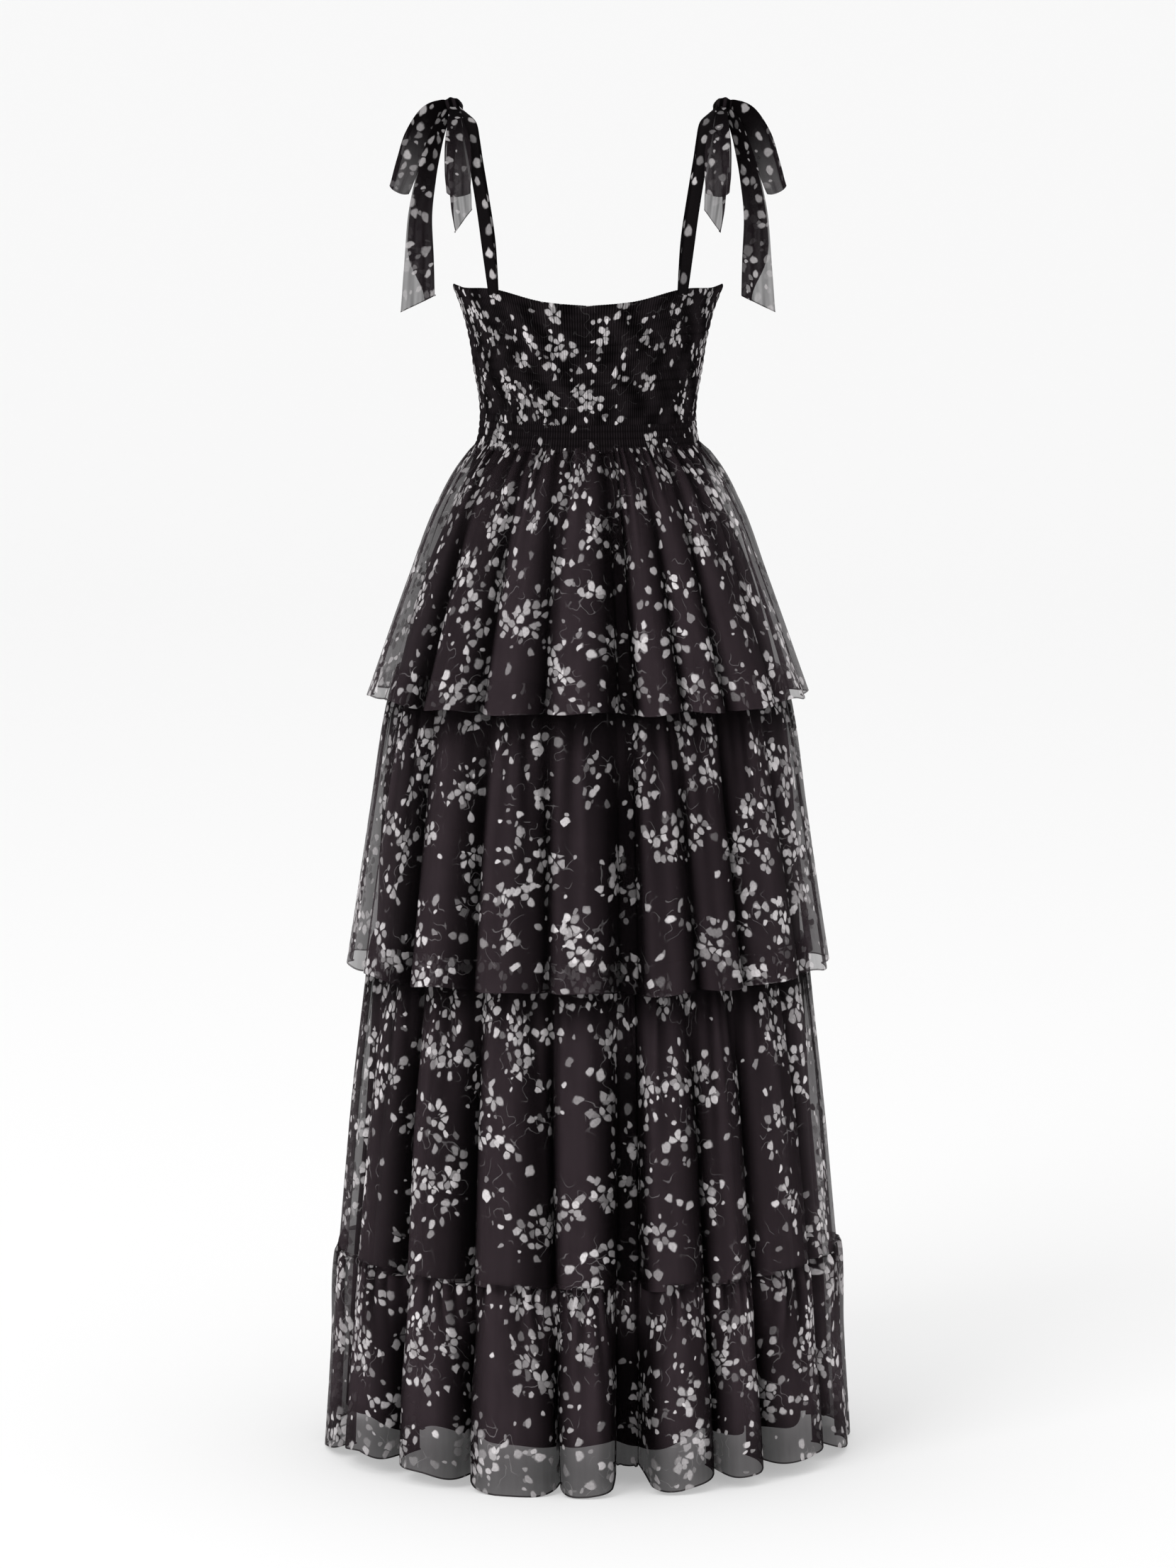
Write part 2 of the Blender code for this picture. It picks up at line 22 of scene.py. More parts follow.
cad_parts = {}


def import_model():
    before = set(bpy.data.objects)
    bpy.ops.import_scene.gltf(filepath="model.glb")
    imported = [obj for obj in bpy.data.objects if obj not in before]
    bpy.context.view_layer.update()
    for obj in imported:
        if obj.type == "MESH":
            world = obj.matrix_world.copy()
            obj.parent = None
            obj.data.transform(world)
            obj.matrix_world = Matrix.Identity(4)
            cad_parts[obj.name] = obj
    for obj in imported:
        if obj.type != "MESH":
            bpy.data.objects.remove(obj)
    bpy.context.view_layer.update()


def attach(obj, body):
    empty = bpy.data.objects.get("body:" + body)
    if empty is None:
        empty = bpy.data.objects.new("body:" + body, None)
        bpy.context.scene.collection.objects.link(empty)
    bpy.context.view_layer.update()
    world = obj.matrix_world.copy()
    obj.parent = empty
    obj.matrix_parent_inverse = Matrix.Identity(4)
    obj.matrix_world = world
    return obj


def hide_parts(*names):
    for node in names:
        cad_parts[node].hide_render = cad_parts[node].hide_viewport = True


Array = NDArray[np.float64]
Material = bpy.types.Material
Node = bpy.types.Node
NodeTree = bpy.types.NodeTree
Socket = bpy.types.NodeSocket
Thing = bpy.types.Object
Triple = tuple[float, float, float]
log = logging.getLogger("sundress")

CHIFFON_SLOT = "black_floral_chiffon"
LINING_SLOT = "black_lining"
MILLIMETRE = 0.001
WAIST_Z = -0.354
WAISTBAND_TOP_Z = -0.326
HEM_Z = -1.422
BODICE_TUCK = 0.0015
BAND_TUCK = 0.0012
KNOT_X = 0.1400
KNOT_HALF_DEPTH = 0.0095
KNOT_HALF_HEIGHT = 0.0090
SKIRT_FLATTENING = 0.031
ARCH_POWER = 2.2
FULL_FOLD_ANGLE = 14.0
GATHER_MEAN = 0.43
GATHER_POWER = 0.75
LOBE_ROUND = 0.009
SHADOW_POWER = 1.2
SHADE_START = 0.07
SHADE_SPAN = 0.70
HEM_WAVES = ((11, 2.0), (17, 0.4))
WANDER_SWING = 1.7
ELASTIC_PUFF = 0.6
PLY_GAP = 0.0005
PLIES = 3
BILLOW = 0.0012
STRAP_CROWN = 0.0006
TAIL_ROLL = 0.0007
EDGE_ROLL = 0.0008
ROLL_TURN = 250.0
ROLL_STEPS = 5
BAKE_MARGIN = 0.01
STRAP_PETAL_PITCH = 0.0245
RIGHT_SHIFT = 17 * STRAP_PETAL_PITCH
SECOND_LAYER = (0.417, 0.283, 0.0)
CLUSTER_SCATTER = 0.9
PETALS_A_FLOWER = 5
PETAL_EDGE = 1.15


class FormRow(NamedTuple):
    """One level of the bodice: its height and its reach from the middle."""

    z: float
    half_width: float
    back: float
    front: float


class SkirtRow(NamedTuple):
    """One level of a skirt piece: the crests of its folds lie on half_width."""

    z: float
    half_width: float
    fold_depth: float


class Fold(NamedTuple):
    """A fold from this valley to the next, its depths as shares of the level's fold depth."""

    waist_angle: float
    hem_angle: float
    valley: float
    crest: float


class TieRow(NamedTuple):
    """One station of a tie, measured from the middle of its knot."""

    out: float
    back: float
    up: float
    width: float
    lean: float
    turn: float = 0.0


def rows_of(kind: type, *rows: Sequence[float]) -> tuple:
    """A table of one kind of row."""
    return tuple(kind(*row) for row in rows)


def tie_rows(*rows: Sequence[float]) -> tuple[TieRow, ...]:
    """A tie's stations, from lengths in millimetres and angles in degrees."""
    return tuple(TieRow(*(MILLIMETRE * length for length in row[:4]), *row[4:]) for row in rows)


TOP_EDGE_ANGLES = (0.0, 20.0, 44.0, 66.0, 90.0, 114.0, 136.0, 160.0, 180.0)
TOP_EDGE_HEIGHTS = (-0.203, -0.199, -0.187, -0.187, -0.185, -0.192, -0.199, -0.215, -0.232)
HEM_LIFT_ANGLES = (
    -90, -74, -58, -37, -20, 0, 5.5, 8, 11.5, 14, 20, 37, 58, 74, 90, 115, 140, 180, 220, 245, 270
)
HEM_LIFTS = (0, 8, 19, 12, 2, 0, 2, 22, 22, 4, 4, 13, 20, 9, 0, 10, 14, 3, 12, 9, 0)
BODICE_FORM = rows_of(
    FormRow,
    (-0.185, 0.1416, 0.104, 0.116), (-0.213, 0.1313, 0.099, 0.114), (-0.243, 0.124, 0.094, 0.108),
    (-0.277, 0.1188, 0.09, 0.098), (-0.305, 0.114, 0.086, 0.091), (-0.328, 0.1134, 0.083, 0.086),
    (-0.346, 0.1161, 0.085, 0.086), (-0.354, 0.119, 0.088, 0.088),
)
FOLDS = rows_of(
    Fold,
    (-90, -90, 0.35, 0), (-69, -70, 0.45, 0), (-51, -48, 1, 0), (-30, -28, 0.9, 0),
    (-13, -6.5, 0.8, 0), (9, 6.8, 1.15, 1.05), (12.5, 12.8, 1.15, 0), (25, 30, 0.85, 0),
    (38.6, 43, 0.9, 0), (58, 66, 0.5, 0.05), (83, 88, 0.4, 0), (104, 106, 0.8, 0),
    (121, 123, 0.95, 0.05), (137, 138, 0.7, 0), (150, 153, 1, 0), (168, 166, 0.75, 0.1),
    (183, 184, 1.05, 0), (200, 198, 0.8, 0), (213, 214, 0.95, 0.05), (229, 228, 0.7, 0),
    (243, 245, 0.9, 0),
)
LINING_ROWS = rows_of(
    SkirtRow,
    (-0.348, 0.1153, 0), (-0.356, 0.1174, 0), (-0.48, 0.1694, 0.002), (-0.59, 0.1994, 0.003),
    (-0.875, 0.2264, 0.009), (-1.036, 0.2364, 0.016), (-1.205, 0.2514, 0.022),
    (-1.372, 0.2614, 0.031),
)
TIER_1_ROWS = rows_of(
    SkirtRow,
    (-0.35, 0.1172, 0), (-0.374, 0.137, 0.002), (-0.413, 0.1598, 0.004), (-0.491, 0.1922, 0.009),
    (-0.614, 0.2382, 0.018),
)
TIER_2_ROWS = rows_of(
    SkirtRow,
    (-0.586, 0.2028, 0.003), (-0.623, 0.2127, 0.006), (-0.736, 0.2329, 0.012), (-0.9, 0.2604, 0.02),
)
TIER_3_ROWS = rows_of(
    SkirtRow,
    (-0.873, 0.2304, 0.009), (-0.917, 0.2362, 0.011), (-1.036, 0.2527, 0.02),
    (-1.207, 0.2706, 0.03),
)
RUFFLE_ROWS = rows_of(
    SkirtRow,
    (-1.2035, 0.2698, 0.03), (-1.213, 0.2722, 0.03), (-1.23, 0.2754, 0.033), (-1.3, 0.2793, 0.04),
    (HEM_Z, 0.2882, 0.05),
)
STRAP_BACK = tie_rows(
    (-4, 3.6, -1.8, 5, 40), (-9, 7.2, -3.6, 6, 40), (-16.2, 23, -15, 9.2, 28),
    (-19.5, 39, -34, 11.8, 18), (-23, 51, -56, 12.2, 15), (-28.2, 62, -86, 12.4, 13),
    (-33, 69, -116, 12.6, 12), (-37.5, 73.5, -150, 13, 11, 18), (-42.3, 74.3, -192, 13.2, 11, 38),
)
STRAP_FRONT = tie_rows(
    (-4, -3.6, -1.8, 5, 40), (-9, -7.2, -3.6, 6, 40), (-16.2, -24, -15, 9.2, 28),
    (-19.5, -43, -34, 11.8, 18), (-24, -58, -62, 12.2, 15), (-30, -69, -100, 12.4, 13),
    (-36, -78, -145, 12.8, 12, -18), (-39.8, -85, -202, 13.2, 11, -38),
)
LOOP_OUTER = tie_rows(
    (6, 1.8, 1, 5, 62), (12, 3.5, 2.1, 7, 62), (25.5, 10.5, -9.5, 18, 50),
    (37.5, 17, -32, 26.5, 31), (46.5, 18.5, -57, 25.5, 27), (55, 15, -81, 23, 24),
    (57.8, 8, -87.5, 22, 23), (55.5, 1, -82, 22, 24), (46, -3.5, -56, 24, 27),
    (36.5, -4.5, -31, 24, 31), (23.5, -3.5, -10.5, 18, 44), (11.8, -3.3, 1, 7, 62),
    (6, -1.6, 0.5, 5, 62),
)
LOOP_INNER = tie_rows(
    (-0.6, 5, -0.5, 5, 4), (-1.2, 9.8, -1, 6, 4), (-2.6, 33, -13, 14, 4), (-5.2, 57, -37, 26, 4),
    (-6, 70, -67, 27.5, 4), (-6.5, 75.5, -84, 25.5, 4), (-6.5, 72.5, -89.5, 24.5, 4),
    (-6.5, 68, -84, 24.5, 4), (-6, 62, -67, 25, 4), (-4.8, 50, -40, 21.5, 4),
    (-2.4, 28.5, -18, 11.5, 4), (-1.2, 9.2, -4.3, 6, 4), (-0.6, 4.6, -2.2, 5, 4),
)
TAIL_OUTER = tie_rows(
    (3.4, 4.6, -3, 5, 30), (6.6, 9, -6, 6, 30), (14, 22.5, -21.5, 11.8, 20),
    (21.5, 29, -45, 17.5, 14), (28, 30, -72, 21, 10), (34.5, 25, -112, 25, 5),
    (36.2, 19, -158, 30.5, 2), (37.8, 16, -204, 35, 1),
)
TAIL_INNER = tie_rows(
    (-0.2, 2.5, -4.6, 5, 4), (-0.4, 5, -9.2, 6, 4), (-2.2, 16.5, -25, 10.5, 4),
    (-4, 35, -46, 16, 2), (-6.2, 50, -70, 20.5, 0), (-9, 60, -96, 22.5, -4),
    (-11.5, 66, -116, 20, -8),
)


class Held(str, Enum):
    GATHERED = "gathered"
    HUNG = "hung"
    FOLDED = "folded"
    STRETCHED = "stretched"


class Side(Enum):
    """A shoulder, by the sign of its x."""

    LEFT = -1
    RIGHT = 1

    @property
    def word(self) -> str:
        """The shoulder's word in the node names."""
        return self.name.lower()


def smooth_at(known: Sequence[float], values: Sequence, wanted: Array | Sequence) -> Array:
    """Reads values from a smooth curve through known points.

    Args:
        known: Where the values are known, rising or falling.
        values: One value or row of values for each known point.
        wanted: Where they are wanted.

    Returns:
        The values there, with one more axis where values has rows.
    """
    places, table = np.asarray(known, float), np.asarray(values, float)
    if places[0] > places[-1]:
        places, table = places[::-1], table[::-1]
    slopes = np.gradient(table, places, axis=0)
    at = np.clip(np.asarray(wanted, float), places[0], places[-1])
    index = np.clip(np.searchsorted(places, at, side="right") - 1, 0, len(places) - 2)
    span = places[index + 1] - places[index]
    share = (at - places[index]) / span
    if table.ndim > 1:
        share, span = share[..., None], span[..., None]
    rise = share * share * (3 - 2 * share)
    start = share * (1 - share) ** 2
    end = share * share * (share - 1)
    straight = table[index] + (table[index + 1] - table[index]) * rise
    return straight + (slopes[index] * start + slopes[index + 1] * end) * span


def ease(value: Array, low: float, high: float) -> Array:
    """A smooth step from 0 at low to 1 at high."""
    share = np.clip((value - low) / (high - low), 0, 1)
    return share * share * (3 - 2 * share)


def hump(share: Array) -> Array:
    """0 at whole numbers and 1 halfway between them."""
    return 0.5 - 0.5 * np.cos(2 * pi * share)


def unit(vectors: Array) -> Array:
    """The vectors, each with a length of 1."""
    return vectors / np.maximum(np.linalg.norm(vectors, axis=-1, keepdims=True), 1e-12)


def lengths(points: Array, axis: int = 0) -> Array:
    """The distances between neighbouring points along an axis."""
    return np.linalg.norm(np.diff(points, axis=axis), axis=-1)


def summed(steps: Array) -> Array:
    """The running sum of steps down their first axis, from 0."""
    return np.concatenate([np.zeros_like(steps[:1]), np.cumsum(steps, 0)])


def around(
    angles: Array, half_width: Array, back: Array, front: Array, offset: Array, z: Array
) -> Array:
    """Points round an oval.

    Args:
        angles: Degrees from the middle of the back.
        half_width: The oval's reach to the sides.
        back: Its reach to the back.
        front: Its reach to the front.
        offset: How far the points stand off it, outward.
        z: Their height.

    Returns:
        The points, along a new last axis.
    """
    turn = np.radians(angles)
    depth = np.where(np.cos(turn) > 0, back, front)
    normal = unit(np.stack([np.sin(turn) / half_width, -np.cos(turn) / depth], -1))
    x = half_width * np.sin(turn) + normal[..., 0] * offset
    y = -depth * np.cos(turn) + normal[..., 1] * offset
    return np.stack(np.broadcast_arrays(x, y, z), -1)


def on_bodice(angles: Array, offset: Array, z: Array) -> Array:
    """Points at a distance from the bodice's form, a column for each angle."""
    form = smooth_at([row.z for row in BODICE_FORM], [row[1:] for row in BODICE_FORM], z)
    return around(np.broadcast_to(angles, z.shape), *np.moveaxis(form, -1, 0), offset, z)


def bodice_levels(angles: Array, levels: int) -> tuple[Array, Array, Array]:
    """Levels from the bodice's top edge down into the waistband.

    Args:
        angles: The columns' angles from the middle of the back, whichever side they are on.
        levels: How many faces go down.

    Returns:
        The top edge's heights, the levels' shares of the way down, and all points' heights.
    """
    shares = np.linspace(0, 1, levels + 1)[:, None]
    top = smooth_at(TOP_EDGE_ANGLES, TOP_EDGE_HEIGHTS, angles)
    return top, shares, top + (WAISTBAND_TOP_Z - BODICE_TUCK - top) * shares


def rolled(points: Array, radius: float) -> Array:
    """Rolls the last row of a grid of points to the inside, as a narrow hem.

    Args:
        points: A grid whose last row is the raw edge.
        radius: The roll's radius.

    Returns:
        The rows of the roll, to stand below the grid.
    """
    outward = unit(np.cross(np.gradient(points, axis=0), np.gradient(points, axis=1)))[-1]
    down = unit(points[-1] - points[-2])
    middle = points[-1] - outward * radius
    angles = np.radians(np.linspace(ROLL_TURN / ROLL_STEPS, ROLL_TURN, ROLL_STEPS))
    return np.array([middle + radius * (outward * np.cos(a) + down * np.sin(a)) for a in angles])


def added(name: str, data: bpy.types.ID) -> Thing:
    """A new object in the scene.

    Args:
        name: Its name.
        data: Its mesh, light or camera.

    Returns:
        The object.
    """
    thing = bpy.data.objects.new(name, data)
    bpy.context.collection.objects.link(thing)
    return thing


def aimed(name: str, data: bpy.types.ID, at: Triple, aim: Triple) -> Thing:
    """A new light or camera that faces a place.

    Args:
        name: Its name.
        data: The light or camera.
        at: Where it stands.
        aim: What it faces.

    Returns:
        The object.
    """
    thing = added(name, data)
    thing.location = at
    thing.rotation_euler = (Vector(aim) - Vector(at)).to_track_quat("-Z", "Y").to_euler()
    return thing


def declared(
    thing: Thing, node: str, flat: tuple[float, float],
    inside: Sequence[Thing] = (),
) -> None:
    """Says which solid a sheet stands for and how it was cut.

    Args:
        thing: The sheet.
        node: The solid that it replaces.
        flat: Its width and length laid flat.
        inside: The pieces that it is wound round.
    """
    for piece in (thing, *inside):
        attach(piece, "root")
    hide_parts(node)
    log.info("%s: flat %.3f x %.3f m, %d faces", thing.name, *flat, len(thing.data.polygons))


@dataclass
class Cloth:
    """A grid of points with its place on the flat cloth, ready to become an object.

    Attributes:
        points: Rows of points from the top down.
        across: Each point's place across the flat cloth, for each point or for a row.
        along: Each point's place down the flat cloth.
        shade: From 0 on a crest to 1 in the depth of a fold.
    """

    points: Array
    across: Array | float
    along: Array | float
    shade: Array | float

    def __post_init__(self) -> None:
        """Spreads every value over the whole grid."""
        shape = self.points.shape[:2]
        values = (self.across, self.along, self.shade)
        self.across, self.along, self.shade = (np.broadcast_to(value, shape) for value in values)

    @property
    def parts(self) -> tuple[Array, Array, Array, Array]:
        """The points and their three values."""
        return self.points, self.across, self.along, self.shade

    def turned(self) -> "Cloth":
        """The same cloth with its rows and columns in the opposite order."""
        return Cloth(*(part[::-1, ::-1] for part in self.parts))

    def with_roll(self, radius: float, last: bool = True) -> "Cloth":
        """Adds a rolled hem.

        Args:
            radius: The roll's radius.
            last: Whether it is on the last row, and not on the first.

        Returns:
            The cloth with the rows of its hem.
        """
        if not last:
            return self.turned().with_roll(radius).turned()
        roll = rolled(self.points, radius)
        across, along, shade = (np.repeat(part[-1:], len(roll), 0) for part in self.parts[1:])
        way = np.sign(self.along[-1].mean() - self.along[0].mean())
        along = along + np.linspace(0.3, 1.0, len(roll))[:, None] * 4 * radius * way
        return Cloth(*(np.concatenate(pair) for pair in zip(self.parts, (roll, across, along, shade))))

    def made(self, name: str, material: Material, bands: int = 1) -> Thing:
        """Makes the object.

        Args:
            name: The object's name.
            material: Its finish.
            bands: How many strips its baking map cuts it into, one above another.

        Returns:
            The object, with the maps Cloth and OFBake and the attribute Shade.
        """
        rows, columns = self.shade.shape
        index = np.arange(rows * columns).reshape(rows, columns)
        quads = np.stack([index[:-1, :-1], index[1:, :-1], index[1:, 1:], index[:-1, 1:]], -1)
        quads = quads.reshape(-1, 4)
        corners = quads.reshape(-1)
        data = bpy.data.meshes.new(name)
        data.vertices.add(rows * columns)
        data.vertices.foreach_set("co", self.points.reshape(-1))
        data.loops.add(quads.size)
        data.loops.foreach_set("vertex_index", corners.astype(np.int32))
        data.polygons.add(len(quads))
        data.polygons.foreach_set("loop_start", np.arange(0, quads.size, 4, dtype=np.int32))
        data.update(calc_edges=True)
        data.shade_smooth()
        flat = np.stack([self.across.reshape(-1), self.along.reshape(-1)], -1)[corners]
        maps = {"Cloth": flat, "OFBake": self._bake_places(quads, rows, columns, bands)}
        for layer, places in maps.items():
            places = places.reshape(-1).astype(np.float32)
            data.uv_layers.new(name=layer).data.foreach_set("uv", places)
        shade = data.attributes.new("Shade", "FLOAT", "POINT")
        shade.data.foreach_set("value", self.shade.reshape(-1).astype(np.float32))
        data.materials.append(material)
        return added(name, data)

    @staticmethod
    def _bake_places(quads: Array, rows: int, columns: int, bands: int) -> Array:
        """The corners' places on the baking map.

        Args:
            quads: Each face's corners.
            rows: The grid's rows.
            columns: Its columns.
            bands: How many strips it is cut into, one above another.

        Returns:
            A place for each corner.
        """
        row, column = quads // columns, quads % columns
        wide = int(np.ceil((columns - 1) / bands))
        band = column[:, :1] // wide
        inner = 1 - 2 * BAKE_MARGIN
        x = BAKE_MARGIN + inner * (column - band * wide) / wide
        y = (band + BAKE_MARGIN + inner * row / (rows - 1)) / bands
        return np.stack([x, y], -1)


@dataclass(frozen=True)
class Gathers:
    """Irregular gathers that stand out below a seam and die away downward.

    Attributes:
        count: How many lie round the seam.
        depth: How far they stand out.
        reach: How far down they run, on average.
        seed: Which of the irregular layouts is used.
        darkness: How deep the painted shade in the creases between them is.
    """

    count: int
    depth: float
    reach: float
    seed: int
    darkness: float

    def at(self, place: Array, below: Array) -> tuple[Array, Array]:
        """How far the cloth stands out, and the painted shade in its creases.

        Args:
            place: From 0 to 1 along the seam.
            below: The distance below it, as a column.

        Returns:
            The heights and the creases' shade, a row for each distance.
        """
        random = np.random.default_rng(self.seed)
        widths = 1 + 0.55 * random.uniform(-1, 1, self.count)
        edges = summed(widths) / widths.sum()
        depths = random.uniform(0.4, 1.0, self.count)
        reaches = self.reach * random.uniform(0.35, 1.8, self.count + 1)
        darks = random.uniform(0.35, 1.0, self.count + 1)
        index = np.clip(np.searchsorted(edges, place, side="right") - 1, 0, self.count - 1)
        local = (place - edges[index]) / (edges[index + 1] - edges[index])
        bump = hump(local)
        fall = np.maximum(below, 0)
        fade = np.exp(-((fall / reaches[index]) ** 1.6))
        nearest = index + (local > 0.5)
        line = np.exp(-((fall / reaches[nearest]) ** 1.6)) * darks[nearest]
        # Painted shade in the creases between the gathers.
        crease = self.darkness * line * (1 - bump) ** 1.5
        return self.depth * depths[index] * bump**GATHER_POWER * fade, crease


class Wiring:
    """Adds nodes to a tree and joins their sockets."""

    def __init__(self, tree: NodeTree) -> None:
        """Starts on a tree."""
        self.tree = tree

    def node(self, kind: str, inputs: dict | None = None, **settings) -> Node:
        """Adds a node.

        Args:
            kind: Its type.
            inputs: What goes into its sockets, by name or number.
            **settings: Its own settings.

        Returns:
            The node.
        """
        made = self.tree.nodes.new(kind)
        for name, value in settings.items():
            setattr(made, name, value)
        for name, value in (inputs or {}).items():
            self.join(value, made.inputs[name])
        return made

    def join(self, value: Socket | float | Sequence[float], socket: Socket) -> None:
        """Links an output to a socket, or sets the socket's own value.

        Args:
            value: The output or value.
            socket: The socket that takes it.
        """
        if isinstance(value, bpy.types.NodeSocket):
            self.tree.links.new(value, socket)
        else:
            socket.default_value = value

    def maths(self, operation: str, *values: Socket | float, clamp: bool = False) -> Socket:
        """The result of an operation on numbers."""
        inputs = dict(enumerate(values))
        return self.node("ShaderNodeMath", inputs, operation=operation, use_clamp=clamp).outputs[0]

    def times(self, *values: Socket | float) -> Socket:
        """The product of numbers."""
        return reduce(partial(self.maths, "MULTIPLY"), values)

    def greatest(self, *values: Socket) -> Socket:
        """The greatest of some numbers."""
        return reduce(partial(self.maths, "MAXIMUM"), values)

    def vector(self, operation: str, *values: Socket | Sequence[float], result: int = 0) -> Socket:
        """The result of an operation on vectors, as a vector or, with result 1, a number."""
        inputs = dict(enumerate(values))
        return self.node("ShaderNodeVectorMath", inputs, operation=operation).outputs[result]

    def step(self, value: Socket, low: float, high: float) -> Socket:
        """A smooth step from 0 at low to 1 at high, or back where low is the higher."""
        inputs = {"Value": value, "From Min": low, "From Max": high}
        return self.node("ShaderNodeMapRange", inputs, interpolation_type="SMOOTHSTEP").outputs[0]

    def spread(self, value: Socket, low: float, high: float) -> Socket:
        """A number from 0 to 1 spread from low to high."""
        return self.maths("MULTIPLY_ADD", value, high - low, low)

    def cells(self, where: Socket, pitch: float, scatter: float, feature: str = "F1") -> Node:
        """A flat cell texture, its cells a pitch apart."""
        inputs = {"Vector": where, "Scale": 1 / pitch, "Randomness": scatter}
        return self.node("ShaderNodeTexVoronoi", inputs, voronoi_dimensions="2D", feature=feature)

    def draws(self, texture: Node) -> bpy.types.NodeOutputs:
        """The three random numbers of a texture's cell."""
        return self.node("ShaderNodeSeparateColor", {"Color": texture.outputs["Color"]}).outputs

    def noise(self, where: Socket, scale: float, detail: float = 1.0, result: str = "Fac") -> Socket:
        """A flat noise texture."""
        inputs = {"Vector": where, "Scale": scale, "Detail": detail}
        return self.node("ShaderNodeTexNoise", inputs, noise_dimensions="2D").outputs[result]

    def tinted(self, share: Socket | float, low: Socket | Sequence, high: Socket | Sequence) -> Socket:
        """A colour between two."""
        return self.node("ShaderNodeMix", {0: share, 6: low, 7: high}, data_type="RGBA").outputs[2]


class EffectGroup:
    """A shader node group with named inputs and outputs."""

    def __init__(self, name: str, inputs: dict[str, float | None], outputs: Sequence[str]) -> None:
        """Makes the group's sockets.

        Args:
            name: The group's name.
            inputs: Each input's first value, None for a vector.
            outputs: The names of its values.
        """
        self.tree = bpy.data.node_groups.new(name, "ShaderNodeTree")
        for socket, value in inputs.items():
            kind = "NodeSocketVector" if value is None else "NodeSocketFloat"
            made = self.tree.interface.new_socket(socket, in_out="INPUT", socket_type=kind)
            if value is not None:
                made.default_value = value
        for socket in outputs:
            self.tree.interface.new_socket(socket, in_out="OUTPUT", socket_type="NodeSocketFloat")
        self.wiring = Wiring(self.tree)
        self.given = self.wiring.node("NodeGroupInput").outputs

    def put_out(self, **values: Socket) -> NodeTree:
        """Joins values to the outputs of the same names, and gives back the group."""
        self.wiring.node("NodeGroupOutput", values)
        return self.tree


@dataclass(frozen=True)
class PetalSize:
    """One size of petal and how it is strewn.

    Attributes:
        pitch: The distance between neighbouring petals.
        least: The least half length of a petal, as a share of the pitch.
        most: The largest.
        inside: The share of places in a cluster that hold a petal.
        near: The share close outside it.
        loose: The share elsewhere.
        scatter: How irregular the layout is, from 0 to 1.
    """

    pitch: float
    least: float
    most: float
    inside: float
    near: float
    loose: float
    scatter: float = 0.85


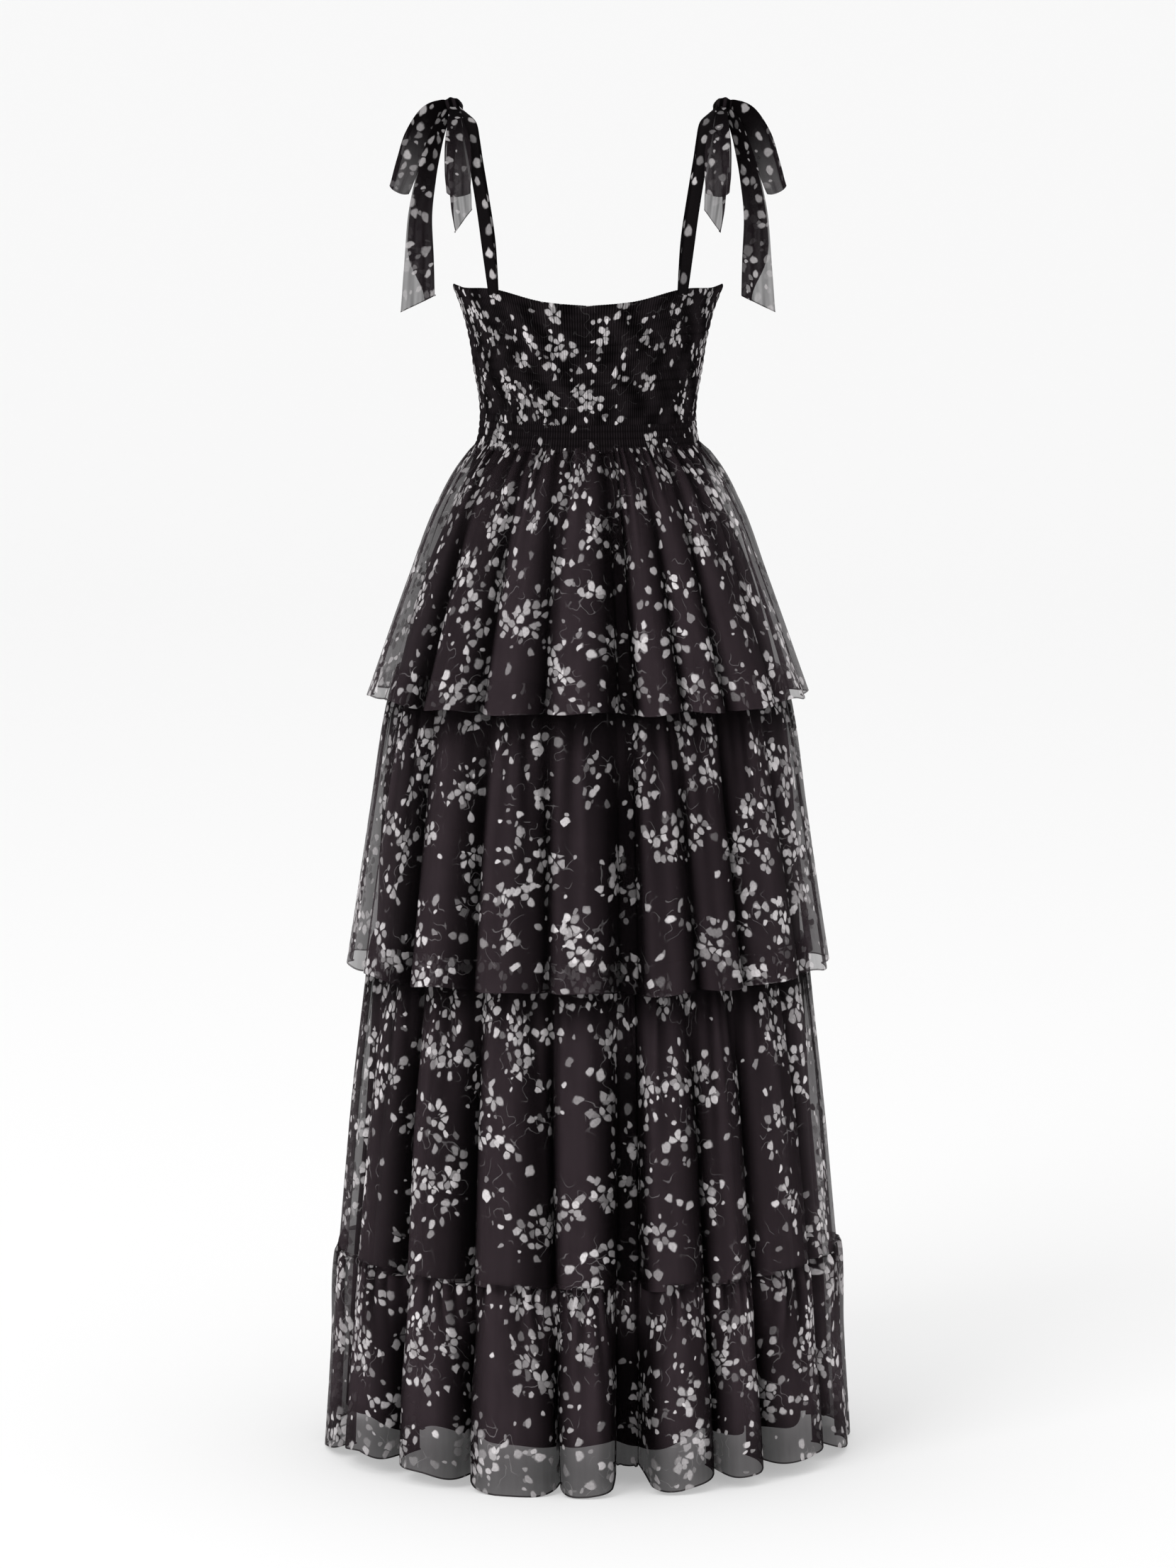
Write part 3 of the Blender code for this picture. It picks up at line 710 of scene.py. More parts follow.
@dataclass(frozen=True)
class FlowerPrint:
    """The print: clusters of oval petals, loose petals between them, and fine stems.

    Attributes:
        name: The node group's name.
        sizes: The sizes of petals, each in a layer of its own.
        cluster_pitch: The distance between neighbouring clusters.
        cluster_least: The least radius of a cluster.
        cluster_most: The largest.
        lengthwise: Whether the petals lie along the cloth, and not round their clusters.
        flower_pitch: The distance between neighbouring flowers, 0 for a print without flowers.
        petal_ring: How far a flower's petals lie from its middle.
        petal_half: Half a petal's length and width.
        lone_flowers: The share of the flowers outside the clusters that are printed.
    """

    name: str = "flower_print"
    sizes: tuple[PetalSize, ...] = (
        PetalSize(0.0128, 0.36, 0.53, 0.44, 0.30, 0.090),
        PetalSize(0.0100, 0.20, 0.40, 0.28, 0.16, 0.035),
    )
    cluster_pitch: float = 0.062
    cluster_least: float = 0.009
    cluster_most: float = 0.0245
    lengthwise: bool = False
    flower_pitch: float = 0.0255
    petal_ring: float = 0.0075
    petal_half: tuple[float, float] = (0.0054, 0.0039)
    lone_flowers: float = 0.04

    def group(self) -> NodeTree:
        """Builds the node group.

        Returns:
            The group, which puts out Petals and Stems from a place on the cloth in metres.
        """
        effect = EffectGroup(self.name, {"Cloth": None}, ("Petals", "Stems"))
        w, cloth = effect.wiring, effect.given["Cloth"]
        sway = w.vector("SUBTRACT", w.noise(cloth, 110.0, result="Color"), (0.5, 0.5, 0.5))
        place = w.vector("ADD", cloth, w.vector("MULTIPLY", sway, (0.0040, 0.0040, 0.0)))
        layers = [self._layer(w, place, size, index) for index, size in enumerate(self.sizes)]
        if self.flower_pitch:
            layers.append(self._flowers(w, place))
        mottle = w.spread(w.noise(cloth, 420.0), 0.80, 1.20)
        petals = w.maths("MULTIPLY", w.greatest(*layers), mottle, clamp=True)

        ground = w.cells(cloth, self.cluster_pitch, CLUSTER_SCATTER)
        spot = w.times(ground.outputs["Distance"], self.cluster_pitch)
        line = w.maths("ABSOLUTE", w.maths("SUBTRACT", w.noise(cloth, 62.0, 0.6), 0.5))
        partly = w.step(w.noise(cloth, 41.0), 0.47, 0.53)
        zone = w.times(w.step(spot, 0.002, 0.006), w.step(spot, 0.036, 0.020))
        return effect.put_out(Petals=petals, Stems=w.times(w.step(line, 0.020, 0.008), zone, partly))

    def _cluster(self, w: Wiring, spot: Socket) -> tuple[bpy.types.NodeOutputs, Socket, Socket]:
        """The cluster round a spot.

        Args:
            w: The group's wiring.
            spot: The place of a petal's or flower's middle.

        Returns:
            The cluster's random numbers, its middle, and the spot's distance from that as a
            share of the cluster's radius.
        """
        cluster = w.cells(spot, self.cluster_pitch, CLUSTER_SCATTER)
        draws = w.draws(cluster)
        distance = w.times(cluster.outputs["Distance"], self.cluster_pitch)
        ratio = w.maths("DIVIDE", distance, w.spread(draws[0], self.cluster_least, self.cluster_most))
        return draws, cluster.outputs["Position"], ratio

    @staticmethod
    def _petal(
        w: Wiring, along: Socket, across: Socket, half: tuple[Socket, Socket], taper: float, soft: float
    ) -> Socket:
        """The shape of a petal that widens toward its far end.

        Args:
            w: The group's wiring.
            along: The place along the petal, from its middle.
            across: The place across it.
            half: Half its length and width.
            taper: How much it widens.
            soft: Where its edge begins to fade, as a share of its size.

        Returns:
            1 inside the petal and 0 outside.
        """
        far = w.maths("DIVIDE", along, half[0])
        width = w.times(half[1], w.maths("MULTIPLY_ADD", far, taper, 1.0))
        wide = w.maths("DIVIDE", across, width)
        squares = w.maths("ADD", w.maths("POWER", far, 2.0), w.maths("POWER", wide, 2.0))
        return w.step(w.maths("SQRT", squares), PETAL_EDGE, soft)

    def _flowers(self, w: Wiring, cloth: Socket) -> Socket:
        """Flowers of up to five petals, most of them in clusters.

        Args:
            w: The group's wiring.
            cloth: The place on the cloth.

        Returns:
            How strongly a petal is printed there.
        """
        flower = w.cells(cloth, self.flower_pitch, 0.8)
        border = w.cells(cloth, self.flower_pitch, 0.8, "DISTANCE_TO_EDGE").outputs["Distance"]
        centre, chance = flower.outputs["Position"], w.draws(flower)
        kind, _, ratio = self._cluster(w, centre)
        lone = w.maths("LESS_THAN", chance[0], self.lone_flowers)
        shown = w.greatest(w.maths("LESS_THAN", ratio, 1.0), lone)

        here = w.vector("MULTIPLY", w.vector("SUBTRACT", cloth, centre), (1.0, 1.0, 0.0))
        parts = w.node("ShaderNodeSeparateXYZ", {"Vector": here}).outputs
        angle = w.maths("ARCTAN2", parts["Y"], parts["X"])
        start = w.spread(chance[1], 10.0, 15.0)
        turn = w.maths("MULTIPLY_ADD", angle, PETALS_A_FLOWER / (2 * pi), start)
        whole = w.maths("FLOOR", turn)
        index = w.maths("MODULO", whole, float(PETALS_A_FLOWER))
        key = {"X": w.maths("MULTIPLY_ADD", chance[0], 91.0, index), "Y": w.spread(chance[2], 0.0, 57.0)}
        key = w.node("ShaderNodeCombineXYZ", key).outputs[0]
        pick = w.node("ShaderNodeTexWhiteNoise", {"Vector": key}, noise_dimensions="2D")
        own = w.draws(pick)
        local = w.maths("SUBTRACT", w.maths("SUBTRACT", turn, whole), w.spread(own[1], 0.40, 0.60))
        local = w.times(local, 2 * pi / PETALS_A_FLOWER)
        radius = w.vector("LENGTH", here, result=1)
        ring = w.spread(own[0], 0.75 * self.petal_ring, 1.20 * self.petal_ring)
        along = w.maths("SUBTRACT", w.times(radius, w.maths("COSINE", local)), ring)
        across = w.times(radius, w.maths("SINE", local))
        half_length, half_width = self.petal_half
        length = w.spread(own[2], 0.78 * half_length, 1.18 * half_length)
        width = w.times(w.spread(own[0], 0.80, 1.12), half_width)
        shape = self._petal(w, along, across, (length, width), 0.24, 0.70)
        kept = w.maths("GREATER_THAN", pick.outputs["Value"], 0.26)
        light = w.times(w.spread(own[1], 0.40, 1.0), w.spread(kind[1], 0.70, 1.0))
        return w.times(shape, w.step(border, 0.005, 0.03), shown, kept, light)

    def _layer(self, w: Wiring, cloth: Socket, size: PetalSize, index: int) -> Socket:
        """The petals of one size.

        Args:
            w: The group's wiring.
            cloth: The place on the cloth.
            size: The size of petal.
            index: The layer's number, which moves its layout.

        Returns:
            How strongly a petal is printed there.
        """
        shift = tuple(index * part for part in SECOND_LAYER)
        place = w.vector("ADD", cloth, shift)
        petal = w.cells(place, size.pitch, size.scatter)
        border = w.cells(place, size.pitch, size.scatter, "DISTANCE_TO_EDGE").outputs["Distance"]
        centre, chance = petal.outputs["Position"], w.draws(petal)
        spot = w.vector("SUBTRACT", centre, shift)
        kind, middle, ratio = self._cluster(w, spot)

        inside, near = (w.maths("LESS_THAN", ratio, reach) for reach in (1.0, 1.7))
        likely = w.maths("MULTIPLY_ADD", inside, size.inside - size.near, size.loose)
        likely = w.maths("MULTIPLY_ADD", near, size.near - size.loose, likely)
        shown = w.maths("LESS_THAN", chance[0], likely)
        ring = w.maths("GREATER_THAN", ratio, w.spread(kind[2], -0.25, 0.42))

        jitter = w.node("ShaderNodeCombineXYZ", {"X": chance[1], "Y": chance[2]}).outputs[0]
        jitter = w.vector("SUBTRACT", jitter, (0.5, 0.5, 0.0))
        way = (0.0, 1.0, 0.0) if self.lengthwise else w.vector("SUBTRACT", spot, middle)
        loose = 0.3 if self.lengthwise else 0.018
        away = w.vector("ADD", way, w.vector("MULTIPLY", jitter, (loose, loose, 0.0)))
        away = w.vector("NORMALIZE", w.vector("MULTIPLY", away, (1.0, 1.0, 0.0)))
        beside = w.vector("CROSS_PRODUCT", away, (0.0, 0.0, 1.0))
        here = w.vector("SUBTRACT", place, centre)
        along = w.vector("DOT_PRODUCT", here, away, result=1)
        across = w.vector("DOT_PRODUCT", here, beside, result=1)

        length = w.spread(chance[1], size.least * size.pitch, size.most * size.pitch)
        width = w.times(length, w.spread(chance[2], 0.56, 0.88))
        shape = self._petal(w, along, across, (length, width), 0.26, 0.68)
        tone = w.maths("FRACT", w.times(chance[0], 37.0))
        light = w.maths("POWER", w.spread(tone, 0.16, 1.0), 0.85)
        light = w.times(light, w.spread(kind[1], 0.76, 1.0))
        return w.times(shape, w.step(border, 0.015, 0.06), shown, ring, light)


@dataclass(frozen=True)
class CrepeWeave:
    """Fine crepe threads and the soft crumple of light cloth.

    Attributes:
        thread_pitch: The distance between threads.
        thread_height: How far they stand out.
        crumple_pitch: The size of the soft dents.
    """

    thread_pitch: float = 0.0007
    thread_height: float = 0.000006
    crumple_pitch: float = 0.018

    def group(self) -> NodeTree:
        """Builds the node group.

        Returns:
            The group, which puts out Height and Density from a place on the cloth in metres
            and the dents' height.
        """
        effect = EffectGroup("crepe_weave", {"Cloth": None, "Crumple": 0.0006}, ("Height", "Density"))
        w, cloth = effect.wiring, effect.given["Cloth"]
        parts = w.node("ShaderNodeSeparateXYZ", {"Vector": cloth}).outputs
        warp, weft = (w.maths("SINE", w.times(parts[axis], 2 * pi / self.thread_pitch)) for axis in "XY")
        threads = w.times(warp, weft, self.thread_height)
        dents = w.noise(w.vector("MULTIPLY", cloth, (1.0, 0.28, 1.0)), 1 / self.crumple_pitch, 3.0)
        height = w.maths("ADD", threads, w.times(dents, effect.given["Crumple"]))
        slub = w.noise(w.vector("MULTIPLY", cloth, (1.0, 0.12, 1.0)), 150.0)
        density = w.maths("MULTIPLY_ADD", slub, 0.5, w.times(w.noise(cloth, 48.0, 2.0), 0.5))
        return effect.put_out(Height=height, Density=density)


class Fabric:
    """A woven material that still wants its colour.

    Attributes:
        material: The material.
        wiring: Its wiring.
        shader: Its shader's sockets.
        cloth: The place on the flat cloth.
        density: How dense the weave is there.
        depth: The painted shade there, from the Shade attribute, deepest in folds and creases.
    """

    def __init__(
        self, name: str, weave: NodeTree, gloss: float, crumple: float, relief: float,
        roughness: tuple[float, float],
    ) -> None:
        """Makes the material.

        Args:
            name: Its name.
            weave: The weave's node group.
            gloss: The shader's specular level.
            crumple: The dents' height.
            relief: The strength of the bump.
            roughness: The least and the greatest roughness.
        """
        self.material = bpy.data.materials.new(name)
        self.material.use_nodes = True
        self.wiring = w = Wiring(self.material.node_tree)
        self.shader = self.material.node_tree.nodes["Principled BSDF"].inputs
        self.shader["Metallic"].default_value = 0.0
        self.shader["Specular IOR Level"].default_value = gloss
        self.cloth = w.node("ShaderNodeUVMap", uv_map="Cloth").outputs["UV"]
        self.depth = w.node("ShaderNodeAttribute", attribute_name="Shade").outputs["Fac"]
        threads = w.node("ShaderNodeGroup", {}, node_tree=weave)
        threads.inputs["Crumple"].default_value = crumple
        w.join(self.cloth, threads.inputs["Cloth"])
        self.density = threads.outputs["Density"]
        w.join(w.spread(self.density, *roughness), self.shader["Roughness"])
        bump = {"Strength": relief, "Distance": 1.0, "Height": threads.outputs["Height"]}
        w.join(w.node("ShaderNodeBump", bump).outputs["Normal"], self.shader["Normal"])

    def ground(self, lit: Socket, colour: Triple, dark: float) -> Socket:
        """The cloth's colour, from its dark share where lit is 0 to the whole where it is 1."""
        return self.wiring.tinted(lit, (*(dark * part for part in colour), 1.0), (*colour, 1.0))


@dataclass(frozen=True)
class ChiffonFinish:
    """Sheer printed chiffon.

    Attributes:
        name: The material's name.
        cover: How much one layer hides what is behind it.
        petal_cover: The same where a petal is printed.
        depth_cover: How much more it hides in the depth of a fold, where it lies double.
        petal_shade: How much the painted shade darkens a petal in the depth of a fold.
        cloth_colour: The colour between the petals.
        petal_colour: The colour of a fully printed petal.
        stem_strength: How strongly the stems are printed.
        crumple: The height of the soft dents.
    """

    name: str
    cover: float = 0.56
    petal_cover: float = 0.90
    depth_cover: float = 0.22
    petal_shade: float = 0.72
    cloth_colour: Triple = (0.0450, 0.0330, 0.0385)
    petal_colour: Triple = (0.80, 0.765, 0.775)
    stem_strength: float = 0.17
    crumple: float = 0.0004

    def made(self, printed: NodeTree, weave: NodeTree) -> Material:
        """Makes the material.

        Args:
            printed: The flower print's node group.
            weave: The weave's node group.

        Returns:
            The material.
        """
        fabric = Fabric(self.name, weave, 0.01, self.crumple, 0.6, (0.70, 0.86))
        w, depth, density = fabric.wiring, fabric.depth, fabric.density
        flowers = w.node("ShaderNodeGroup", {}, node_tree=printed)
        w.join(fabric.cloth, flowers.inputs["Cloth"])
        stems = w.times(flowers.outputs["Stems"], self.stem_strength)
        ink = w.greatest(flowers.outputs["Petals"], stems)
        # The Shade attribute paints shade: it darkens the cloth strongly and its petals less.
        lit = w.maths("POWER", w.maths("SUBTRACT", 1.0, w.times(depth, 0.93)), 1.7)
        ground = fabric.ground(w.times(lit, w.spread(density, 0.80, 1.20)), self.cloth_colour, 0.06)
        ink_lit = w.maths("SUBTRACT", 1.0, w.times(depth, self.petal_shade))
        colour = w.tinted(w.times(ink, ink_lit), ground, (*self.petal_colour, 1.0))
        w.join(colour, fabric.shader["Base Color"])

        body = w.maths("MULTIPLY_ADD", density, 0.10, self.cover - 0.05)
        body = w.maths("MULTIPLY_ADD", depth, self.depth_cover, body)
        alpha = w.maths("MULTIPLY_ADD", ink, self.petal_cover - self.cover, body, clamp=True)
        w.join(alpha, fabric.shader["Alpha"])
        return fabric.material


@dataclass(frozen=True)
class LiningFinish:
    """Opaque plain lining with a faint sheen.

    Attributes:
        name: The material's name.
        colour: Its colour.
    """

    name: str = "black_lining_cloth"
    colour: Triple = (0.0050, 0.0040, 0.0046)

    def made(self, weave: NodeTree) -> Material:
        """Makes the material.

        Args:
            weave: The weave's node group.

        Returns:
            The material.
        """
        fabric = Fabric(self.name, weave, 0.04, 0.0006, 0.5, (0.48, 0.62))
        w = fabric.wiring
        lit = w.maths("MULTIPLY_ADD", fabric.depth, -0.6, 1.0)
        lit = w.times(w.spread(fabric.density, 0.8, 1.2), lit)
        w.join(fabric.ground(lit, self.colour, 0.2), fabric.shader["Base Color"])
        return fabric.material


class Wardrobe:
    """The finishes of the dress, each made once."""

    def __init__(self) -> None:
        """Builds the node groups and every finish from them."""
        close = FlowerPrint(
            "flower_print_close",
            (
                PetalSize(0.0108, 0.36, 0.54, 0.40, 0.13, 0.04),
                PetalSize(0.0082, 0.22, 0.42, 0.28, 0.09, 0.03),
            ),
            cluster_pitch=0.047, cluster_most=0.0180, flower_pitch=0.0205, petal_ring=0.0060,
            petal_half=(0.0047, 0.0035), lone_flowers=0.05,
        ).group()
        dense = FlowerPrint(
            "flower_print_dense",
            (
                PetalSize(0.0128, 0.36, 0.53, 0.52, 0.40, 0.17),
                PetalSize(0.0100, 0.20, 0.40, 0.36, 0.26, 0.09),
            ),
        ).group()
        row = FlowerPrint(
            "flower_print_row", (PetalSize(STRAP_PETAL_PITCH, 0.19, 0.26, 0.93, 0.93, 0.93, 0.26),),
            lengthwise=True, flower_pitch=0.0,
        ).group()
        loose = FlowerPrint(
            "flower_print_loose",
            (
                PetalSize(0.0165, 0.27, 0.40, 0.76, 0.60, 0.50, 0.7),
                PetalSize(0.0105, 0.18, 0.36, 0.40, 0.30, 0.22, 0.9),
            ),
            flower_pitch=0.0,
        ).group()
        weave = CrepeWeave().group()
        self.tier = ChiffonFinish("tier_chiffon").made(FlowerPrint().group(), weave)
        self.ruffle = ChiffonFinish("ruffle_chiffon", cover=0.66).made(dense, weave)
        self.bodice = ChiffonFinish(
            "smocked_chiffon", cover=1.06, petal_cover=1.06, crumple=0.0002,
            cloth_colour=(0.0150, 0.0118, 0.0134), petal_shade=0.62, stem_strength=0.03,
        ).made(close, weave)
        self.tie = ChiffonFinish(
            "tie_chiffon", cover=0.65, petal_cover=0.84, depth_cover=0.40, crumple=0.0003,
            cloth_colour=(0.024, 0.0185, 0.0215), petal_colour=(0.44, 0.42, 0.425),
            petal_shade=0.30, stem_strength=0.0,
        ).made(loose, weave)
        # A darker copy of the bodice chiffon for the tightly wound knot, its cloth and petals painted in
        # shade.
        self.knot = ChiffonFinish(
            "knot_chiffon", cover=1.06, petal_cover=1.06, crumple=0.0002, petal_shade=0.9,
            cloth_colour=(0.012, 0.0095, 0.0108), petal_colour=(0.13, 0.125, 0.128), stem_strength=0.0,
        ).made(close, weave)
        self.strap = ChiffonFinish(
            "strap_chiffon", cover=0.97, petal_cover=0.98, crumple=0.0001,
            cloth_colour=(0.006, 0.005, 0.0055), petal_colour=(0.56, 0.535, 0.54), stem_strength=0.0,
        ).made(row, weave)
        self.lining = LiningFinish().made(weave)


@dataclass(frozen=True)
class SkirtCloth:
    """A tier, ruffle or lining: a sheet round the dress, open along the left side seam.

    Attributes:
        node: The solid that it replaces.
        rows: Its levels from the top down.
        columns: How many faces go round.
        levels: How many go down.
        gathers: The sets of gathers below its seam.
        material: Its finish.
        held: How it is held; not used.
        rests_on: What it hangs from; not used.
        slot: The record's material slot; not used.
        steepness: How upright the folds' sides stand at the hem, from 0 to 1.
        roll: The radius of its rolled hem.
        lifted: Whether its hem rises between the lobes.
        print_shift: Where on the printed cloth it is cut.
        bands: The strips of its baking map.
        seam_ease: How far below the seam the gathers reach their full depth.
        seam_shade: How deep the painted shade is at the seam.
        seam_shade_ends: How far below the seam that shade begins and ends to fade.
        hem_wander: How far the hem strays up and down.
        shadow_right: The share of a fold that the shade on its right side takes.
        shadow_left: The same on its left side.
        hem_shade: How dark the cloth is near the hem.
        flared: Whether it is cut wider at its hem than at its top, and not gathered.
    """

    node: str
    rows: tuple[SkirtRow, ...]
    columns: int
    levels: int
    gathers: tuple[Gathers, ...]
    material: Material
    held: Held
    rests_on: str
    slot: str = CHIFFON_SLOT
    steepness: float = 0.6
    roll: float = 0.0009
    lifted: bool = False
    print_shift: tuple[float, float] = (0.0, 0.0)
    bands: int = 3
    seam_ease: float = 0.010
    seam_shade: float = 0.85
    seam_shade_ends: tuple[float, float] = (0.026, 0.085)
    hem_wander: float = 0.0022
    shadow_right: float = 0.60
    shadow_left: float = 0.20
    hem_shade: float = 0.0
    flared: bool = False

    def build(self) -> None:
        """Makes the sheet and says what it is."""
        places = self._columns()
        points, shade = self._surface(places, self._heights()[:, None])
        steps = lengths(points).mean(1)
        down = summed(steps)
        widths = lengths(points, 1).sum(1)
        cut = np.average(widths[1:], weights=steps) if self.flared else widths[-1]
        across = np.linspace(0, widths[-1], len(places)) + self.print_shift[0]
        sheet = Cloth(points, across, down[:, None] + self.print_shift[1], shade).with_roll(self.roll)
        thing = sheet.made(f"{self.node}_cloth", self.material, self.bands)
        flat = (round(float(cut), 2), round(float(down[-1]) + 4 * self.roll, 3))
        declared(thing, self.node, flat)

    def _heights(self) -> Array:
        """The levels' heights, closer together near the seam."""
        share = np.linspace(0, 1, self.levels + 1)
        return self.rows[0].z + (self.rows[-1].z - self.rows[0].z) * (0.55 * share + 0.45 * share**1.8)

    def _columns(self) -> Array:
        """Shares the columns out at equal steps along the hem.

        Returns:
            Their places, in folds.
        """
        dense = np.linspace(0, len(FOLDS), 8001)
        hem, _ = self._surface(dense, np.array([[self.rows[-1].z]]))
        arc = summed(lengths(hem[0]))
        return np.interp(np.linspace(0, arc[-1], self.columns + 1), arc, dense)

    def _surface(self, places: Array, z: Array) -> tuple[Array, Array]:
        """The sheet's points and their shade.

        Args:
            places: The columns' places in folds.
            z: The rows' heights, as a column.

        Returns:
            The points and the painted shade on each, deepest in folds and creases.
        """
        first = FOLDS[0]
        last = Fold(first.waist_angle + 360, first.hem_angle + 360, first.valley, first.crest)
        starts, ends, depths, crests = np.array([*FOLDS, last], float).T
        fold = np.minimum(places.astype(int), len(FOLDS) - 1)
        along = places - fold
        valleys = starts + (ends - starts) * np.clip((WAIST_Z - z) / (WAIST_Z - HEM_Z), 0, 1)
        top = self.rows[0].z
        below = top - z
        down = below / (top - self.rows[-1].z)
        steep = self.steepness * ease(down, 0.0, 0.6)
        eased = along - steep * np.sin(2 * pi * along) / (2 * pi)
        angles = valleys[:, fold] + (valleys[:, fold + 1] - valleys[:, fold]) * eased

        floor = depths[fold] + (depths[fold + 1] - depths[fold]) * along
        inward = floor + (crests[fold] - floor) * (1 - np.abs(2 * along - 1) ** ARCH_POWER)
        heights = [row.z for row in self.rows]
        half_width, fold_depth = smooth_at(heights, [row[1:] for row in self.rows], z[:, 0]).T[..., None]

        fullness = np.minimum(1, np.diff(ends)[fold] / FULL_FOLD_ANGLE) ** 2
        rise, light = 0.0, 1.0
        seam = 0.35 + 0.65 * ease(below, 0, self.seam_ease)
        for gathers in self.gathers:
            height, crease = gathers.at(places / len(FOLDS), below)
            rise = rise + (height - GATHER_MEAN * gathers.depth) * fullness * seam
            light = light * (1 - crease)
        turn = np.radians(angles)
        # The number of columns shifts a wave, so that each hem strays in its own way.
        waves = ((5, self.columns), *HEM_WAVES)
        wander = sum(np.sin(count * turn + phase) for count, phase in waves)
        lift = self.hem_wander * wander * ease(down, 0.4, 1.0) / WANDER_SWING
        if self.lifted:
            raised = np.interp(angles, HEM_LIFT_ANGLES, HEM_LIFTS) * MILLIMETRE
            lift = lift + raised * ease(down, 0.3, 1.0)
            lift = lift + LOBE_ROUND * floor * np.abs(2 * eased - 1) ** 4 * ease(down, 0.5, 1.0)
        reach = half_width - SKIRT_FLATTENING
        points = around(angles, half_width, reach, reach, rise - fold_depth * inward, z + lift)

        # Painted shade in each fold's valley, wide and soft on its right side and narrow on its left, as
        # under light from the left.
        right = np.clip((eased - 1 + self.shadow_right) / self.shadow_right, 0, 1)
        left = np.clip(1 - eased / self.shadow_left, 0, 1)
        shadow = crests[fold] + (floor - crests[fold]) * np.maximum(right, left) ** SHADOW_POWER
        deep = np.clip((shadow - SHADE_START) / SHADE_SPAN, 0, 1) ** 1.1
        light = light * (1 - deep * (0.35 + 0.65 * ease(down, 0.0, 0.45)))
        # Painted shade just below the seam.
        light = light * (1 - self.seam_shade * (1 - ease(below, *self.seam_shade_ends)))
        light = light * (1 - self.hem_shade * ease(down, 0.66, 0.92))
        return points, 1 - light


def crease_shade(ribs: Array, puff: Array) -> Array:
    """The shade between smocked ribs, deepest at the rows of elastic."""
    return np.clip(1 - ribs * (0.5 + 0.5 * puff), 0, 1) * 0.75


@dataclass(frozen=True)
class SmockedBack:
    """The back bodice, drawn in by rows of elastic into fine upright ribs.

    Attributes:
        material: Its finish.
        ribs: How many ribs lie across it.
        elastics: How many rows of elastic go down it.
        faces_per_rib: How many faces go across a rib.
        levels: How many faces go down.
        relief: How far the ribs stand out.
        middle: Where the sheet lies in its solid's wall.
        squeeze: How many times wider it was cut, in the middle and added at the sides.
        drop: Its length laid flat.
        cloud: How uneven its shade is.
    """

    material: Material
    ribs: int = 150
    elastics: int = 15
    faces_per_rib: int = 4
    levels: int = 72
    relief: float = 0.0010
    middle: float = -0.0009
    squeeze: tuple[float, float] = (1.15, 0.55)
    drop: float = 0.145
    cloud: float = 0.16

    def build(self) -> None:
        """Makes the smocked sheet and says what it is."""
        columns = self.ribs * self.faces_per_rib
        angles = np.linspace(-89.95, 89.95, columns + 1)
        top, shares, z = bodice_levels(np.abs(angles), self.levels)
        random = np.random.default_rng(11)
        place = np.arange(columns + 1) / self.faces_per_rib
        row = shares * self.elastics
        sway = random.uniform(-0.22, 0.22, (self.elastics + 2, self.ribs + 2))
        low = np.floor(row).astype(int)
        blend = ease(row - low, 0, 1)
        rib = np.floor(place).astype(int)[None]
        shift = sway[low, rib] * (1 - blend) + sway[np.minimum(low + 1, self.elastics + 1), rib] * blend
        ribs = hump(place[None])
        puff = np.abs(np.sin(pi * row)) ** ELASTIC_PUFF
        rise = self.relief * ribs**0.8 * (0.55 + 0.45 * puff) * (1 + shift) + 0.0005 * puff
        points = on_bodice(angles, self.middle + rise, z)
        squeeze = self.squeeze[0] + self.squeeze[1] * (angles / 90) ** 2
        steps = np.radians(np.diff(angles)) * BODICE_FORM[2].half_width
        across = summed(steps * (squeeze[1:] + squeeze[:-1]) / 2)
        cloud = np.sin(2 * pi * place / 13 + 1.9 * np.sin(0.9 * row)) + np.sin(0.31 * place - 0.8 * row)
        shade = np.clip(crease_shade(ribs, puff) + self.cloud * cloud, 0, 1)
        sheet = Cloth(points, across, (top - z) * 1.05, shade).with_roll(EDGE_ROLL, last=False)
        thing = sheet.made("bodice_back_cloth", self.material, 2)
        flat = (round(float(across[-1]), 2), self.drop)
        declared(thing, "bodice_back", flat)


@dataclass(frozen=True)
class PlainFront:
    """The front bodice: a plain panel with bust fullness and two darts.

    Attributes:
        material: Its finish.
        columns: How many faces go across.
        levels: How many go down.
        middle: Where the sheet lies in its solid's wall.
        cup_angle: How far from the middle of the front each side is fullest, in degrees.
        cup_z: The height where it is fullest.
        cup_fullness: How far it stands out there.
        cup_half_width: How far the fullness reaches sideways, in degrees.
        cup_half_height: How far it reaches up and down.
        dart_depth: How deep the darts lie.
        drop: Its length laid flat.
    """

    material: Material
    columns: int = 180
    levels: int = 70
    middle: float = -0.0007
    cup_angle: float = 33.0
    cup_z: float = -0.226
    cup_fullness: float = 0.013
    cup_half_width: float = 27.0
    cup_half_height: float = 0.046
    dart_depth: float = 0.0016
    drop: float = 0.14

    def build(self) -> None:
        """Makes the front panel and says what it is."""
        angles = np.linspace(90.05, 269.95, self.columns + 1)
        mirrored = np.minimum(angles, 360 - angles)
        _, shares, z = bodice_levels(mirrored, self.levels)
        across_cup = (180 - mirrored - self.cup_angle) / self.cup_half_width
        down_cup = (z - self.cup_z) / self.cup_half_height
        rise = self.cup_fullness * np.exp(-(across_cup**2 + down_cup**2))
        dart = np.exp(-(((180 - mirrored - self.cup_angle * (0.9 - 0.25 * shares)) / 1.1) ** 2))
        dart = dart * ease(shares, 0.42, 0.6)
        points = on_bodice(angles, rise - self.dart_depth * dart + self.middle, z)
        across = summed(lengths(points[len(points) // 3]))
        along = summed(lengths(points))
        # The painted shade is slight all over and deeper along the darts.
        sheet = Cloth(points, across + 0.7, along + 0.2, 0.12 + 0.7 * dart)
        thing = sheet.with_roll(EDGE_ROLL, last=False).made("bodice_front_cloth", self.material, 2)
        flat = (round(float(across[-1]), 2), self.drop)
        declared(thing, "bodice_front", flat)


